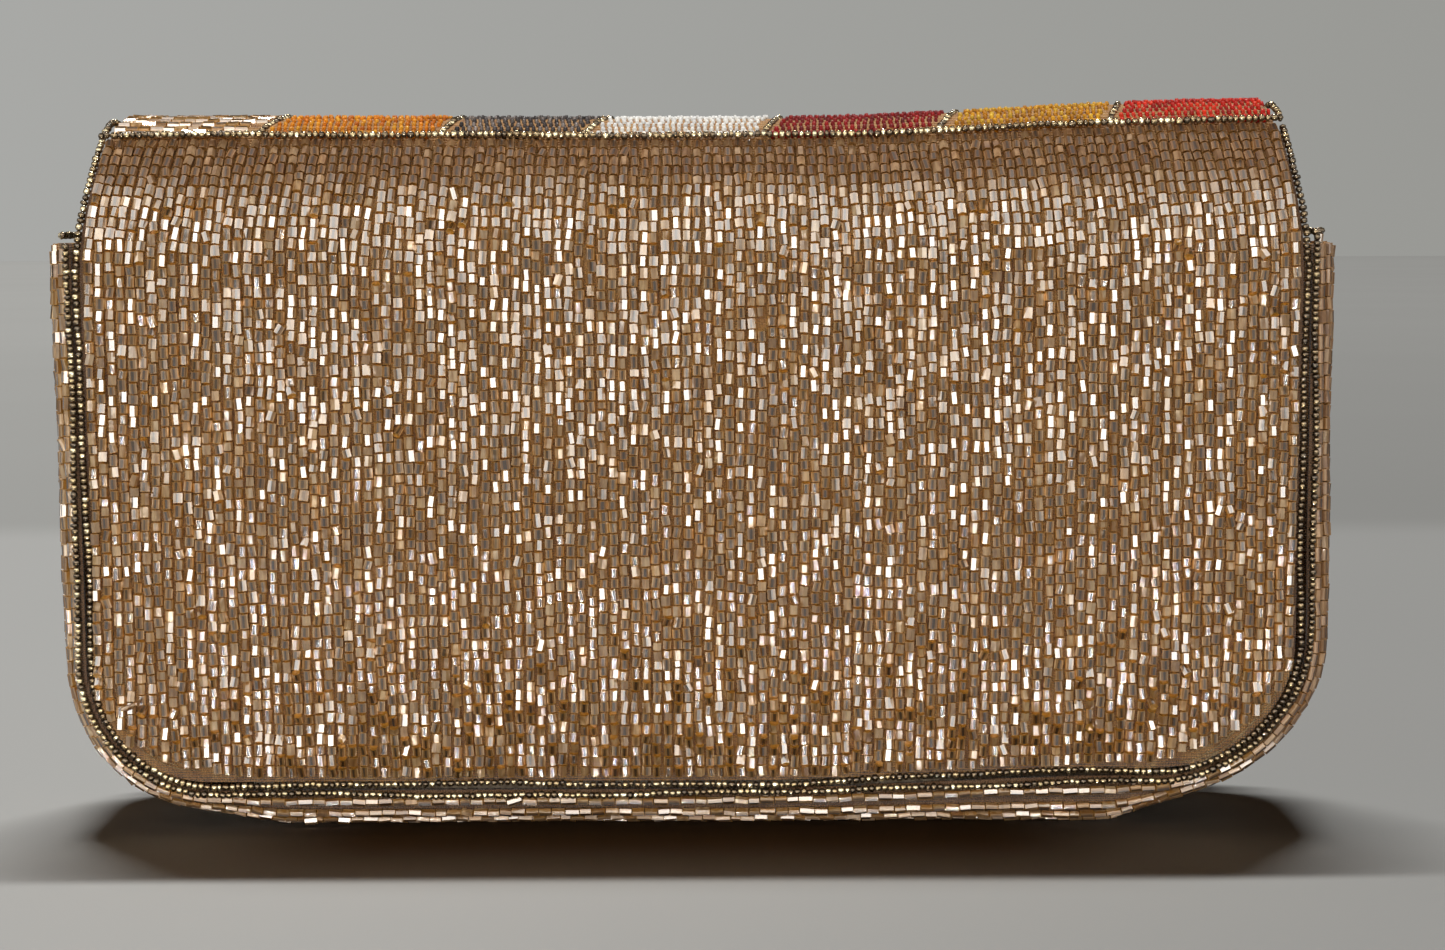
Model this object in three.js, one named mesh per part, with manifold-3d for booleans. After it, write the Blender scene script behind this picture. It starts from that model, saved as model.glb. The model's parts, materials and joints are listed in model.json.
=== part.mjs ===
// A beaded shoulder bag: a flat evening bag with a bead-embroidered back panel, a flap that
// turns over the top and down the front, a bulging gusset, and strings of seed beads on its seams.
// Millimetres, +Z up, origin on the ground under the middle. The back panel faces -Y, the flap +Y.
import * as THREE from "three";
import { mergeVertices } from "three/addons/utils/BufferGeometryUtils.js";
import Module from "manifold-3d";

const wasm = await Module();
wasm.setup();

// Overall form of the bag
const panelHalfWidth = 118;
const panelBottom = 10.3;
const cornerRadius = 26;
const openingHeight = 112;
const earHeight = 117;
const archTop = 140;
const backSeamY = -19.5;
const frontSeamY = 13.6;
const flapFaceY = 21.6;
const backBelly = 3.2;
const frontBelly = 1.5;
const topTaper = 3;
const foldAngle = 60 * (Math.PI / 180);
const flapHem = 18;
const flapCornerRadius = 24;

// Plies, from the outside in
const clothThickness = 0.8;
const beadHeight = 1.5;
const grooveDepth = 0.8;
const stiffenerThickness = 1.2;
const flapStiffenerThickness = 1;
const liningThickness = 0.8;
const plyGap = 0.2;

// Bead rows. A column is one string of beads.
const backColumns = 114;
const frontColumns = 38;
const gussetRows = 15;
const seedRowPitch = 1.7;
const cornerSpots = [0, 0.2, 0.6, 1];

// Strings of seed beads
const stringRadius = 0.9;
const edgingInset = 1.5;
const gussetEdgingInset = 3.4;
const outlineRadius = 0.85;

// Gusset
const gussetInset = 2.5;
const gussetSideBulge = 3.8;
const gussetBottomBulge = 5.7;
const sagHalfWidth = 74;
const sagFade = 19;
const gussetRoundness = 4;
const floorPress = 0.25;

// Inner pieces
const liningInset = 1;
const stiffenerInset = 2;
const boardHalfWidth = 88;
const boardThickness = 1.6;
const boardClearance = 0.5;
const pocketHalfWidth = 55;
const pocketBottom = 27;
const pocketTop = 95;
const pocketDepth = 4.7;
const pocketWall = 0.8;

// Magnetic snap
const snapHeight = 42;
const snapRadius = 8;
const snapHoleRadius = 4.2;
const snapStudRadius = 3.5;
const socketThickness = 2.7;
const socketHoleDepth = 1.4;
const flangeThickness = 1;
const studLength = 1.3;
const washerThickness = 0.5;
const snapClearance = 0.5;

// Rings for the strap, each held by a folded ribbon tab
const ringWire = 1.1;
const ringHalfWidth = 9;
const ringLeg = 4;
const tabTop = 108;
const tabWidth = 12;
const ribbonPly = 1;
const ringPinHeight = 94.6;
const tabBore = 1.5;
const tabEye = 2.6;
const ringDepthY = -2.5;

// Colour fields of the flap: where each wavy outline starts, as a share of the flap's half width
const waveHeight = 5.5;
const waveLength = 62;
const outlinePlaces = [-0.75, -0.435, -0.19, 0.12, 0.42, 0.715];
const bandNames = ["blush", "orange", "slate", "white", "crimson", "amber", "scarlet"];

const pearlCloth = material(0xc79f86, 0.35, 0.1);
const seedBead = material(0x8d8168, 0.3, 0.7);
const satin = material(0xcbb79c, 0.6, 0);
const board = material(0xb9ab90, 0.9, 0);
const nickel = material(0xb9b4a6, 0.3, 0.9);
const bandMaterials = {
  blush: material(0xd8b3a2, 0.35, 0.1),
  orange: material(0xd97a12, 0.4, 0),
  slate: material(0x55504c, 0.3, 0.5),
  white: material(0xdfe0dd, 0.3, 0),
  crimson: material(0x8d1418, 0.3, 0),
  amber: material(0xc98a1c, 0.3, 0.1),
  scarlet: material(0xc22312, 0.3, 0),
};

function material(color, roughness, metalness) {
  return new THREE.MeshStandardMaterial({ color, roughness, metalness });
}

// The arch over the top, from the back plane up and over to the flap's front plane.
const archMiddleY = (backSeamY + flapFaceY) / 2;
const archHalfDepth = (flapFaceY - backSeamY) / 2;
const archRise = archTop - openingHeight;
const arch = new THREE.EllipseCurve(
  archMiddleY, openingHeight, archHalfDepth, archRise, Math.PI, 0, true,
);
const archLength = arch.getLength();
const foldRun = new THREE.EllipseCurve(
  archMiddleY, openingHeight, archHalfDepth, archRise, Math.PI, Math.PI - foldAngle, true,
).getLength();
const flapEnd = archLength + openingHeight - flapHem;
const flapHalfWidth = panelHalfWidth - topTaper;

// How far the back panel stands out at a point, fullest a little below its middle.
function backSwell(x, z) {
  const rise = THREE.MathUtils.clamp(
    (z - panelBottom) / (openingHeight - panelBottom), 0, 1,
  );
  const across = 1 - Math.min(1, Math.abs(x) / panelHalfWidth) ** 4;
  return backBelly * 5.38 * rise * (1 - rise) ** 1.5 * across;
}

function frontSwell(x, z) {
  const rise = THREE.MathUtils.clamp(
    (z - panelBottom) / (openingHeight - panelBottom), 0, 1,
  );
  const across = 1 - Math.min(1, Math.abs(x) / panelHalfWidth) ** 4;
  return frontBelly * Math.sin(Math.PI * rise) ** 2 * across;
}

// A point of the back panel or flap, inner face of its cloth. run is the length along the cloth
// from the start of the arch: below zero on the back, and over the arch and down the flap above it.
function shellBase(x, run) {
  if (run <= 0) {
    const z = openingHeight + run;
    return new THREE.Vector3(x, backSeamY - backSwell(x, z), z);
  }
  if (run < archLength) {
    const p = arch.getPointAt(run / archLength);
    return new THREE.Vector3(x, p.x, p.y);
  }
  return new THREE.Vector3(x, flapFaceY, openingHeight - (run - archLength));
}

function frontBase(x, z) {
  return new THREE.Vector3(x, frontSeamY + frontSwell(x, z), z);
}

// A point at a distance outside a surface that is given by its two coordinates.
function outside(surface, x, run, out, flip = 1) {
  const step = 0.05;
  const across = surface(x + step, run).sub(surface(x - step, run));
  const along = surface(x, run + step).sub(surface(x, run - step));
  const normal = across.cross(along).normalize().multiplyScalar(flip);
  return surface(x, run).addScaledVector(normal, out);
}
const shell = (x, run, out) => outside(shellBase, x, run, out);
const front = (x, z, out) => outside(frontBase, x, z, out, -1);

// The width narrows a little from the ears up to the fold.
function halfWidthAt(run) {
  return panelHalfWidth - topTaper * THREE.MathUtils.smoothstep(run, 0, foldRun);
}

// Height of a rounded bottom edge above its lowest line, at a distance x from the middle.
function cornerLift(x, halfWidth, radius) {
  const past = Math.min(radius, Math.max(0, Math.abs(x) - (halfWidth - radius)));
  return radius - Math.sqrt(radius * radius - past * past);
}

// Collects points and faces of one closed body.
class Facets {
  constructor() {
    this.points = [];
    this.corners = [];
  }

  row(list) {
    return list.map((p) => {
      this.points.push(p.x, p.y, p.z);
      return this.points.length / 3 - 1;
    });
  }

  quad(a, b, c, d) {
    this.corners.push(a, b, c, a, c, d);
  }

  band(lower, upper) {
    for (let i = 0; i < lower.length - 1; i++) {
      this.quad(lower[i], lower[i + 1], upper[i + 1], upper[i]);
    }
  }

  // Joins two rows that run the same way and may have different counts of points.
  zip(a, b) {
    let i = 0;
    let j = 0;
    while (i < a.length - 1 || j < b.length - 1) {
      const takeA = j === b.length - 1
        || (i < a.length - 1 && this.span(a[i + 1], b[j]) <= this.span(a[i], b[j + 1]));
      if (takeA) {
        this.corners.push(a[i], a[i + 1], b[j]);
        i++;
      } else {
        this.corners.push(a[i], b[j + 1], b[j]);
        j++;
      }
    }
  }

  span(a, b) {
    return Math.hypot(...[0, 1, 2].map((k) => this.points[a * 3 + k] - this.points[b * 3 + k]));
  }

  geometry() {
    const made = new THREE.BufferGeometry();
    made.setAttribute("position", new THREE.Float32BufferAttribute(this.points, 3));
    made.setIndex(volumeOf(this.points, this.corners) < 0
      ? this.corners.slice().reverse()
      : this.corners);
    return made;
  }
}

function volumeOf(points, corners) {
  let six = 0;
  for (let i = 0; i < corners.length; i += 3) {
    const [a, b, c] = [0, 1, 2].map((k) =>
      new THREE.Vector3().fromArray(points, corners[i + k] * 3));
    six += a.dot(b.cross(c));
  }
  return six;
}

// A sheet between rows of outer points and rows of inner points.
function sheet(outerPoints, innerPoints) {
  const body = new Facets();
  const outer = outerPoints.map((r) => body.row(r));
  const inner = innerPoints.map((r) => body.row(r));
  const last = outer.length - 1;
  for (let j = 0; j < last; j++) {
    const [o, p, q, r] = [outer[j], outer[j + 1], inner[j], inner[j + 1]];
    body.band(o, p);
    for (let i = 0; i < q.length - 1; i++) body.quad(q[i], r[i], r[i + 1], q[i + 1]);
    body.quad(o[0], p[0], r[0], q[0]);
    body.quad(q.at(-1), r.at(-1), p.at(-1), o.at(-1));
  }
  body.zip(inner[0], outer[0]);
  body.zip(outer[last], inner[last]);
  return body.geometry();
}

const spread = (count, low = -1, high = 1) =>
  Array.from({ length: count + 1 }, (_, i) => low + ((high - low) * i) / count);

// Heights of a ridged face over its cloth: a groove between strings and a crest on each.
const ridge = (i) => clothThickness + beadHeight - (i % 2 ? 0 : grooveDepth);

// Places across a panel for its plain faces, closer together at the rounded corners
const plySpots = [-1, -0.98, -0.92, -0.8, -0.45, 0.45, 0.8, 0.92, 0.98, 1];

// A panel of bead columns or of plain cloth on a surface. runs gives the stops along it at a
// place across it, from -1 at one side to 1 at the other.
function panel({ surface, columns, runs, halfWidth, inner, outer }) {
  const across = columns ? spread(columns * 2) : plySpots;
  const face = (spots, heightOf) => runs(0).map((_, k) => spots.map((u, i) => {
    const run = runs(u)[k];
    return surface(u * halfWidth(run), run, heightOf(i));
  }));
  return sheet(face(across, (i) => (columns ? ridge(i) : outer)), face(plySpots, () => inner));
}

// A tube along points, each given with the direction that counts as its first side.
function string(stops, radius, sides = 6, closed = false) {
  const body = new Facets();
  const rings = stops.map(({ at, out }, i) => {
    const before = stops[closed ? (i + stops.length - 1) % stops.length : Math.max(0, i - 1)].at;
    const after = stops[closed ? (i + 1) % stops.length : Math.min(stops.length - 1, i + 1)].at;
    const along = after.clone().sub(before).normalize();
    const up = out.clone().addScaledVector(along, -out.dot(along)).normalize();
    const side = along.clone().cross(up);
    return body.row(spread(sides, 0, 2 * Math.PI).slice(0, sides).map((a) => at.clone()
      .addScaledVector(up, radius * Math.cos(a))
      .addScaledVector(side, radius * Math.sin(a))));
  });
  const joints = closed ? rings.length : rings.length - 1;
  for (let i = 0; i < joints; i++) {
    const a = rings[i];
    const b = rings[(i + 1) % rings.length];
    for (let k = 0; k < sides; k++) {
      const n = (k + 1) % sides;
      body.quad(a[k], a[n], b[n], b[k]);
    }
  }
  if (!closed) {
    const [a, b] = [rings[0], rings.at(-1)];
    for (let k = 1; k < sides - 1; k++) {
      body.corners.push(a[0], a[k + 1], a[k]);
      body.corners.push(b[0], b[k], b[k + 1]);
    }
  }
  return body.geometry();
}

// The seam outline in the XZ plane: down the left side, round the bottom, up the right side.
// Each stop has a place on the panel's edge and the direction out of the panel.
function outline({ top, cornerSteps = 4, bottomStops = [0], halfWidth = panelHalfWidth,
  bottom = panelBottom, radius = cornerRadius }) {
  const stops = [{ x: -halfWidth, z: top, nx: -1, nz: 0 }];
  const centreX = halfWidth - radius;
  const centreZ = bottom + radius;
  for (const i of spread(cornerSteps, 0, cornerSteps)) {
    const a = Math.PI + (i / cornerSteps) * (Math.PI / 2);
    const [nx, nz] = [Math.cos(a), Math.sin(a)];
    stops.push({ x: -centreX + radius * nx, z: centreZ + radius * nz, nx, nz });
  }
  for (const x of bottomStops) stops.push({ x, z: bottom, nx: 0, nz: -1 });
  for (const i of spread(cornerSteps, 0, cornerSteps)) {
    const a = -Math.PI / 2 + (i / cornerSteps) * (Math.PI / 2);
    const [nx, nz] = [Math.cos(a), Math.sin(a)];
    stops.push({ x: centreX + radius * nx, z: centreZ + radius * nz, nx, nz });
  }
  stops.push({ x: halfWidth, z: top, nx: 1, nz: 0 });
  return stops;
}

const offsetStop = (s, out, y) =>
  new THREE.Vector3(s.x + s.nx * out, y, s.z + s.nz * out);

// Geometry and manifold-3d solids, each way
function solid(geometry) {
  const bare = geometry.index ? geometry.toNonIndexed() : geometry.clone();
  const merged = mergeVertices(
    new THREE.BufferGeometry().setAttribute("position", bare.getAttribute("position")), 1e-4,
  );
  return new wasm.Manifold(new wasm.Mesh({
    numProp: 3,
    vertProperties: merged.attributes.position.array,
    triVerts: new Uint32Array(merged.index.array),
  }));
}

function geometryOf(made) {
  const mesh = made.getMesh();
  const points = new Float32Array(mesh.numVert * 3);
  for (let i = 0; i < mesh.numVert; i++) {
    points.set(mesh.vertProperties.subarray(i * mesh.numProp, i * mesh.numProp + 3), i * 3);
  }
  return new THREE.BufferGeometry()
    .setAttribute("position", new THREE.BufferAttribute(points, 3))
    .setIndex(new THREE.BufferAttribute(mesh.triVerts, 1));
}

const cut = (geometry, ...tools) =>
  geometryOf(tools.reduce((left, tool) => left.subtract(solid(tool)), solid(geometry)));

// A shape drawn in X and Z, and thickened from one Y to another.
function plate(shape, fromY, toY, curveSegments = 6) {
  return new THREE.ExtrudeGeometry(shape, {
    depth: toY - fromY, bevelEnabled: false, curveSegments,
  }).rotateX(Math.PI / 2).translate(0, toY, 0);
}

function block(lowX, highX, lowY, highY, lowZ, highZ) {
  return new THREE.BoxGeometry(highX - lowX, highY - lowY, highZ - lowZ)
    .translate((lowX + highX) / 2, (lowY + highY) / 2, (lowZ + highZ) / 2);
}

// A disc or post whose axis is along Y, at the snap's place.
function snapDisc(radius, fromY, toY, segments = 14) {
  return new THREE.CylinderGeometry(radius, radius, toY - fromY, segments)
    .translate(0, (fromY + toY) / 2, snapHeight);
}

// The closed outline of a panel in X and Z, grown or shrunk by an offset.
function panelShape(offset, top) {
  const stops = outline({ top });
  return new THREE.Shape(stops.map((s) => {
    const p = offsetStop(s, offset, 0);
    return new THREE.Vector2(p.x, p.z);
  }));
}

// Back panel and the plies behind it
const lerp = THREE.MathUtils.lerp;
const foldGap = plyGap / 2;
const straightStops = [0, 0.3, 0.62, 1];
const archStops = spread(2, 0, foldRun - foldGap).slice(1);

function edgeHeight(u, inset) {
  const half = panelHalfWidth - inset;
  return panelBottom + inset + cornerLift(u * half, half, cornerRadius - inset);
}
const heights = (u, inset, top) =>
  straightStops.map((t) => lerp(edgeHeight(u, inset), top, t));
const backRuns = (inset) => (u) => [
  ...heights(u, inset, openingHeight).map((z) => z - openingHeight),
  ...archStops,
];

function backPanel() {
  return panel({
    surface: shell, columns: backColumns, runs: backRuns(0), halfWidth: halfWidthAt, inner: 0,
  });
}

function backStiffener() {
  return panel({
    surface: shell,
    runs: backRuns(stiffenerInset),
    halfWidth: (run) => halfWidthAt(run) - stiffenerInset,
    inner: -plyGap - stiffenerThickness,
    outer: -plyGap,
  });
}

function backFacing() {
  const skin = -2 * plyGap - stiffenerThickness;
  return panel({
    surface: shell,
    runs: () => [plyGap, ...archStops],
    halfWidth: (run) => halfWidthAt(run) - stiffenerInset,
    inner: skin - liningThickness,
    outer: skin,
  });
}

function frontPanel() {
  const made = panel({
    surface: front,
    columns: frontColumns,
    runs: (u) => heights(u, 0, openingHeight),
    halfWidth: () => panelHalfWidth,
    inner: 0,
  });
  const hole = snapDisc(
    snapRadius + snapClearance,
    frontSeamY - clothThickness,
    frontSeamY + frontBelly + clothThickness + beadHeight * 2,
  );
  return cut(made, hole);
}

function frontStiffener() {
  return panel({
    surface: front,
    runs: (u) => heights(u, stiffenerInset, openingHeight - stiffenerInset),
    halfWidth: () => panelHalfWidth - stiffenerInset,
    inner: -plyGap - stiffenerThickness,
    outer: -plyGap,
  });
}

// Gusset: a strip of bead rows round the sides and bottom, that bulges between its two seams
const gussetFrom = backSeamY + plyGap;
const gussetTo = frontSeamY - plyGap;
const bottomSag = (x) =>
  1 - THREE.MathUtils.smoothstep(Math.abs(x), sagHalfWidth, sagHalfWidth + sagFade);
const gussetBulge = (s) =>
  gussetSideBulge + (gussetBottomBulge - gussetSideBulge) * bottomSag(s.x);
const gussetArc = (t) => 1 - Math.abs(2 * t - 1) ** gussetRoundness;
const gussetOut = (s, t) => gussetInset + gussetBulge(s) * gussetArc(t);
const gussetY = (t) => gussetFrom + (gussetTo - gussetFrom) * t;
const gussetStops = outline({
  top: earHeight,
  bottomStops: [-sagHalfWidth - sagFade / 2, -sagHalfWidth, sagHalfWidth,
    sagHalfWidth + sagFade / 2],
});

function gusset() {
  const across = spread(gussetRows * 2, 0, 1);
  const within = spread(8, 0, 1);
  const made = sheet(
    gussetStops.map((s) => across.map((t, i) =>
      offsetStop(s, gussetOut(s, t) + ridge(i) + floorPress * bottomSag(s.x), gussetY(t)))),
    gussetStops.map((s) => within.map((t) => offsetStop(s, gussetOut(s, t), gussetY(t)))),
  );
  const reach = panelHalfWidth * 2;
  return cut(made, block(-reach, reach, -reach, reach, -reach, 0));
}

function bottomBoard() {
  const low = panelBottom - gussetInset + boardClearance;
  const [fromY, toY] = [liningBack - boardClearance, liningFront + boardClearance];
  return block(-boardHalfWidth, boardHalfWidth, fromY, toY, low, low + boardThickness);
}

// Lining bag, open at the top, and its slip pocket
const liningStack = 2 * plyGap + stiffenerThickness;
const liningBack = backSeamY + liningStack;
const liningFront = frontSeamY - liningStack;

function liningBag() {
  const skin = liningThickness;
  const outer = plate(panelShape(-liningInset, openingHeight), liningBack, liningFront);
  const hollow = plate(
    panelShape(-liningInset - skin, openingHeight + skin), liningBack + skin, liningFront - skin,
  );
  return cut(outer, hollow);
}

function slipPocket() {
  const from = liningBack + liningThickness + plyGap / 2;
  const to = from + pocketDepth + pocketWall;
  const outer = block(-pocketHalfWidth, pocketHalfWidth, from, to, pocketBottom, pocketTop);
  const hollow = block(
    pocketWall - pocketHalfWidth, pocketHalfWidth - pocketWall,
    from - pocketWall, to - pocketWall, pocketBottom + pocketWall, pocketTop + pocketWall,
  );
  return cut(outer, hollow);
}

// Seed-bead strings on the body
const seamOut = clothThickness + plyGap;
const backward = new THREE.Vector3(0, -1, 0);
const forward = new THREE.Vector3(0, 1, 0);
const outOf = (s) => new THREE.Vector3(s.nx, 0, s.nz);

function backEdging() {
  const side = (sign) => spread(3, 0, foldRun - stringRadius / 2).slice(1).map((run) => ({
    at: shell(sign * (halfWidthAt(run) + edgingInset), run, seamOut),
    out: new THREE.Vector3(sign, 0, 0),
  }));
  const seam = outline({ top: openingHeight }).map((s) => ({
    at: offsetStop(s, edgingInset, backSeamY - seamOut), out: outOf(s),
  }));
  return string([...side(-1).reverse(), ...seam, ...side(1)], stringRadius);
}

function frontEdging() {
  const seam = outline({ top: openingHeight }).map((s) => ({
    at: offsetStop(s, edgingInset, frontSeamY + seamOut), out: outOf(s),
  }));
  const corner = (sign) => ({
    at: new THREE.Vector3(
      sign * (panelHalfWidth + edgingInset), frontSeamY + seamOut, openingHeight + edgingInset,
    ),
    out: new THREE.Vector3(sign, 0, 1).normalize(),
  });
  const top = spread(4, 1, -1).slice(1, -1).map((u) => ({
    at: new THREE.Vector3(u * panelHalfWidth, frontSeamY + seamOut, openingHeight + edgingInset),
    out: new THREE.Vector3(0, 0, 1),
  }));
  return string([...seam.slice(1, -1), corner(1), ...top, corner(-1)], stringRadius, 6, true);
}

function gussetEdging() {
  const stops = outline({ top: earHeight });
  const along = (list, y) => list.map((s) => ({
    at: offsetStop(s, gussetEdgingInset, y), out: outOf(s),
  }));
  const over = (s, from, to) => spread(6, from, to).map((t) => ({
    at: new THREE.Vector3(
      s.x + s.nx * (gussetOut(s, t) + clothThickness), gussetY(t), earHeight + edgingInset,
    ),
    out: outOf(s),
  }));
  return string([
    ...along(stops, backSeamY - seamOut),
    ...over(stops.at(-1), 0, 1),
    ...along(stops.slice().reverse(), frontSeamY + seamOut),
    ...over(stops[0], 1, 0),
  ], stringRadius, 6, true);
}

const foldStringRun = foldRun - stringRadius;
function foldEdging() {
  const out = clothThickness + beadHeight + stringRadius + plyGap / 2;
  const half = flapHalfWidth;
  return string(spread(2).map((u) => ({
    at: shell(u * half, foldStringRun, out), out: shell(0, foldStringRun, 1)
      .sub(shell(0, foldStringRun, 0)),
  })), stringRadius);
}

// Flap: cloth, stiffener and lining, with the bead fields on its outer face
const flapFrom = foldRun + foldGap;
const flapBottomRun = (x, inset = 0) =>
  flapEnd - inset - cornerLift(x, flapHalfWidth - inset, flapCornerRadius - inset);
const flapStops = spread(5, flapFrom, archLength);
const flapRuns = (x, inset, hangStops) => [
  ...flapStops,
  ...hangStops.map((t) => lerp(archLength, flapBottomRun(x, inset), t)),
];

function flapPly(inner, thickness, inset) {
  return panel({
    surface: shell,
    runs: (u) => flapRuns(u * (flapHalfWidth - inset), inset, [1]),
    halfWidth: () => flapHalfWidth - inset,
    inner,
    outer: inner + thickness,
  });
}

const stiffenerFace = -plyGap - flapStiffenerThickness;
const liningFace = stiffenerFace - plyGap - liningThickness;
const flapLiningY = flapFaceY + liningFace;

function flapStiffener() {
  const made = flapPly(stiffenerFace, flapStiffenerThickness, stiffenerInset);
  return cut(made, snapDisc(
    snapRadius + snapClearance, flapFaceY + liningFace, flapFaceY + clothThickness,
  ));
}

// Where outline number i lies, at a run along the flap. The two sides of the flap stay straight.
const bandEdges = outlinePlaces.map((share) => share * flapHalfWidth);
const bandShift = (run) => waveHeight * Math.sin((2 * Math.PI * (run - flapFrom)) / waveLength);
function bandEdge(i, run) {
  if (i < 0) return -flapHalfWidth;
  if (i >= bandEdges.length) return flapHalfWidth;
  return bandEdges[i] + bandShift(run) * (i % 2 ? 0.75 : 1);
}
const hangStops = spread(6, 0, 1).slice(1);
const bandOut = clothThickness + plyGap;

// The side of a field follows the straight lengths of the string that borders it.
function fieldSide(i, run) {
  if (i < 0) return -flapHalfWidth;
  if (i >= bandEdges.length) return flapHalfWidth;
  const stops = flapRuns(bandEdge(i, flapEnd), 0, hangStops);
  const found = stops.findIndex((stop) => stop > run);
  const k = found < 1 ? stops.length - 1 : found;
  const share = (run - stops[k - 1]) / (stops[k] - stops[k - 1]);
  return lerp(bandEdge(i, stops[k - 1]), bandEdge(i, stops[k]), share);
}

// Seed rows lie across the flap: a crest for each row over the arch, plain on the hanging face.
const seedRows = Math.round((archLength - flapFrom) / seedRowPitch);
const hangStart = seedRowPitch / 2 / (flapEnd - archLength);
const hanging = (t) => ({
  runAt: (x) => lerp(archLength, flapBottomRun(x, plyGap), t),
  height: beadHeight,
});
const rowStops = [
  ...spread(seedRows * 2, flapFrom, archLength).map((run, k) => ({
    runAt: () => run,
    height: beadHeight - (k % 2 ? 0 : grooveDepth),
  })),
  ...[hangStart, ...hangStops].map(hanging),
];
const backStops = [
  ...flapStops.map((run) => ({ runAt: () => run, height: 0 })),
  ...hangStops.map((t) => ({ ...hanging(t), height: 0 })),
];

function beadField(i) {
  const inset = outlineRadius + plyGap;
  const last = bandEdges.length;
  let spots = [0, 1];
  if (i === 0) spots = cornerSpots;
  if (i === last) spots = cornerSpots.map((u) => 1 - u).reverse();
  const line = (stops, u) => stops.map(({ runAt, height }) => {
    const run = runAt(lerp(fieldSide(i - 1, flapEnd), fieldSide(i, flapEnd), u));
    const left = fieldSide(i - 1, run) + (i === 0 ? 0 : inset);
    const right = fieldSide(i, run) - (i === last ? 0 : inset);
    return shell(lerp(left, right, u), run, bandOut + height);
  });
  return sheet(spots.map((u) => line(rowStops, u)), spots.map((u) => line(backStops, u)));
}

function bandOutline(i) {
  const out = bandOut + outlineRadius;
  const stops = flapRuns(bandEdge(i, flapEnd), 0, hangStops);
  stops[0] += outlineRadius / 2;
  return string(stops.map((run) => {
    const at = shell(bandEdge(i, run), run, out);
    return { at, out: at.clone().sub(shell(bandEdge(i, run), run, 0)) };
  }), outlineRadius, 4);
}

function flapEdging() {
  const side = (sign) => flapStops.map((run) => ({
    at: shell(sign * (flapHalfWidth + edgingInset), run, seamOut),
    out: new THREE.Vector3(sign, 0, 0),
  }));
  const hem = outline({
    top: openingHeight, halfWidth: flapHalfWidth, bottom: flapHem, radius: flapCornerRadius,
  }).slice(1, -1).map((s) => ({
    at: offsetStop(s, edgingInset, flapFaceY + seamOut), out: outOf(s),
  }));
  return string([...side(-1), ...hem, ...side(1).reverse()], stringRadius);
}

// Magnetic snap: the socket sits in a hole of the front panel, the stud on the flap's lining
const socketFrom = frontSeamY + frontSwell(0, snapHeight) + plyGap / 2;
const socketTo = socketFrom + socketThickness;

function snapSocket() {
  return cut(
    snapDisc(snapRadius, socketFrom, socketTo),
    snapDisc(snapHoleRadius, socketTo - socketHoleDepth, socketTo + 1),
  );
}

function snapStud() {
  const back = flapLiningY - plyGap / 2;
  const flange = solid(snapDisc(snapRadius, back - flangeThickness, back));
  const post = snapDisc(
    snapStudRadius, back - flangeThickness - studLength, back - flangeThickness / 2,
  );
  return geometryOf(flange.add(solid(post)));
}

function socketWasher() {
  const from = liningFront + plyGap / 2;
  return snapDisc(snapRadius, from, from + washerThickness);
}

function studWasher() {
  const from = flapLiningY + liningThickness + plyGap / 2;
  return snapDisc(snapRadius, from, from + washerThickness);
}

// Strap rings and their tabs. side is 1 on the right and -1 on the left.
const liningInnerX = panelHalfWidth - liningInset - liningThickness;
const ringX = liningInnerX - plyGap - tabEye;

function ringTab(side) {
  const eye = new THREE.Shape().absarc(0, 0, tabEye, 0, 2 * Math.PI, false);
  eye.holes.push(new THREE.Path().absarc(0, 0, tabBore, 0, 2 * Math.PI, true));
  const [fromY, toY] = [ringDepthY - tabWidth / 2, ringDepthY + tabWidth / 2];
  const loop = plate(eye, fromY, toY, 6).translate(ringX, 0, ringPinHeight);
  const wall = liningInnerX - plyGap;
  const tail = block(
    wall - 2 * ribbonPly, wall, fromY, toY, ringPinHeight + tabBore + ribbonPly / 2, tabTop,
  );
  const made = geometryOf(solid(loop).add(solid(tail)));
  return side > 0 ? made : mirrored(made);
}

function strapRing(side) {
  const stops = [];
  for (const i of spread(8, 0, 8)) {
    const a = -(i / 8) * Math.PI;
    stops.push([ringHalfWidth * Math.cos(a), ringHalfWidth * Math.sin(a) - ringLeg]);
  }
  stops.push([-ringHalfWidth, 0], [ringHalfWidth, 0]);
  const middle = new THREE.Vector3(ringX, ringDepthY, ringPinHeight - ringLeg);
  const made = string(stops.map(([y, z]) => {
    const at = new THREE.Vector3(ringX, ringDepthY + y, ringPinHeight + z);
    return { at, out: at.clone().sub(middle) };
  }), ringWire, 6, true);
  return side > 0 ? made : mirrored(made);
}

function mirrored(geometry) {
  const made = geometryOf(solid(geometry));
  made.applyMatrix4(new THREE.Matrix4().makeScale(-1, 1, 1));
  made.setIndex(Array.from(made.index.array).reverse());
  return made;
}

// Assembly
const bag = new THREE.Group();

function add(name, geometry, look) {
  const mesh = new THREE.Mesh(geometry, look);
  mesh.name = name;
  bag.add(mesh);
}

add("back_panel", backPanel(), pearlCloth);
add("back_stiffener", backStiffener(), board);
add("back_facing", backFacing(), satin);
add("front_panel", frontPanel(), pearlCloth);
add("front_stiffener", frontStiffener(), board);
add("gusset", gusset(), pearlCloth);
add("bottom_board", bottomBoard(), board);
add("lining_bag", liningBag(), satin);
add("slip_pocket", slipPocket(), satin);
add("back_edging", backEdging(), seedBead);
add("front_edging", frontEdging(), seedBead);
add("gusset_edging", gussetEdging(), seedBead);
add("fold_edging", foldEdging(), seedBead);
add("snap_socket", snapSocket(), nickel);
add("snap_socket_washer", socketWasher(), nickel);
for (const [word, side] of [["left", -1], ["right", 1]]) {
  add(`ring_tab_${word}`, ringTab(side), satin);
  add(`strap_ring_${word}`, strapRing(side), nickel);
}

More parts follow.
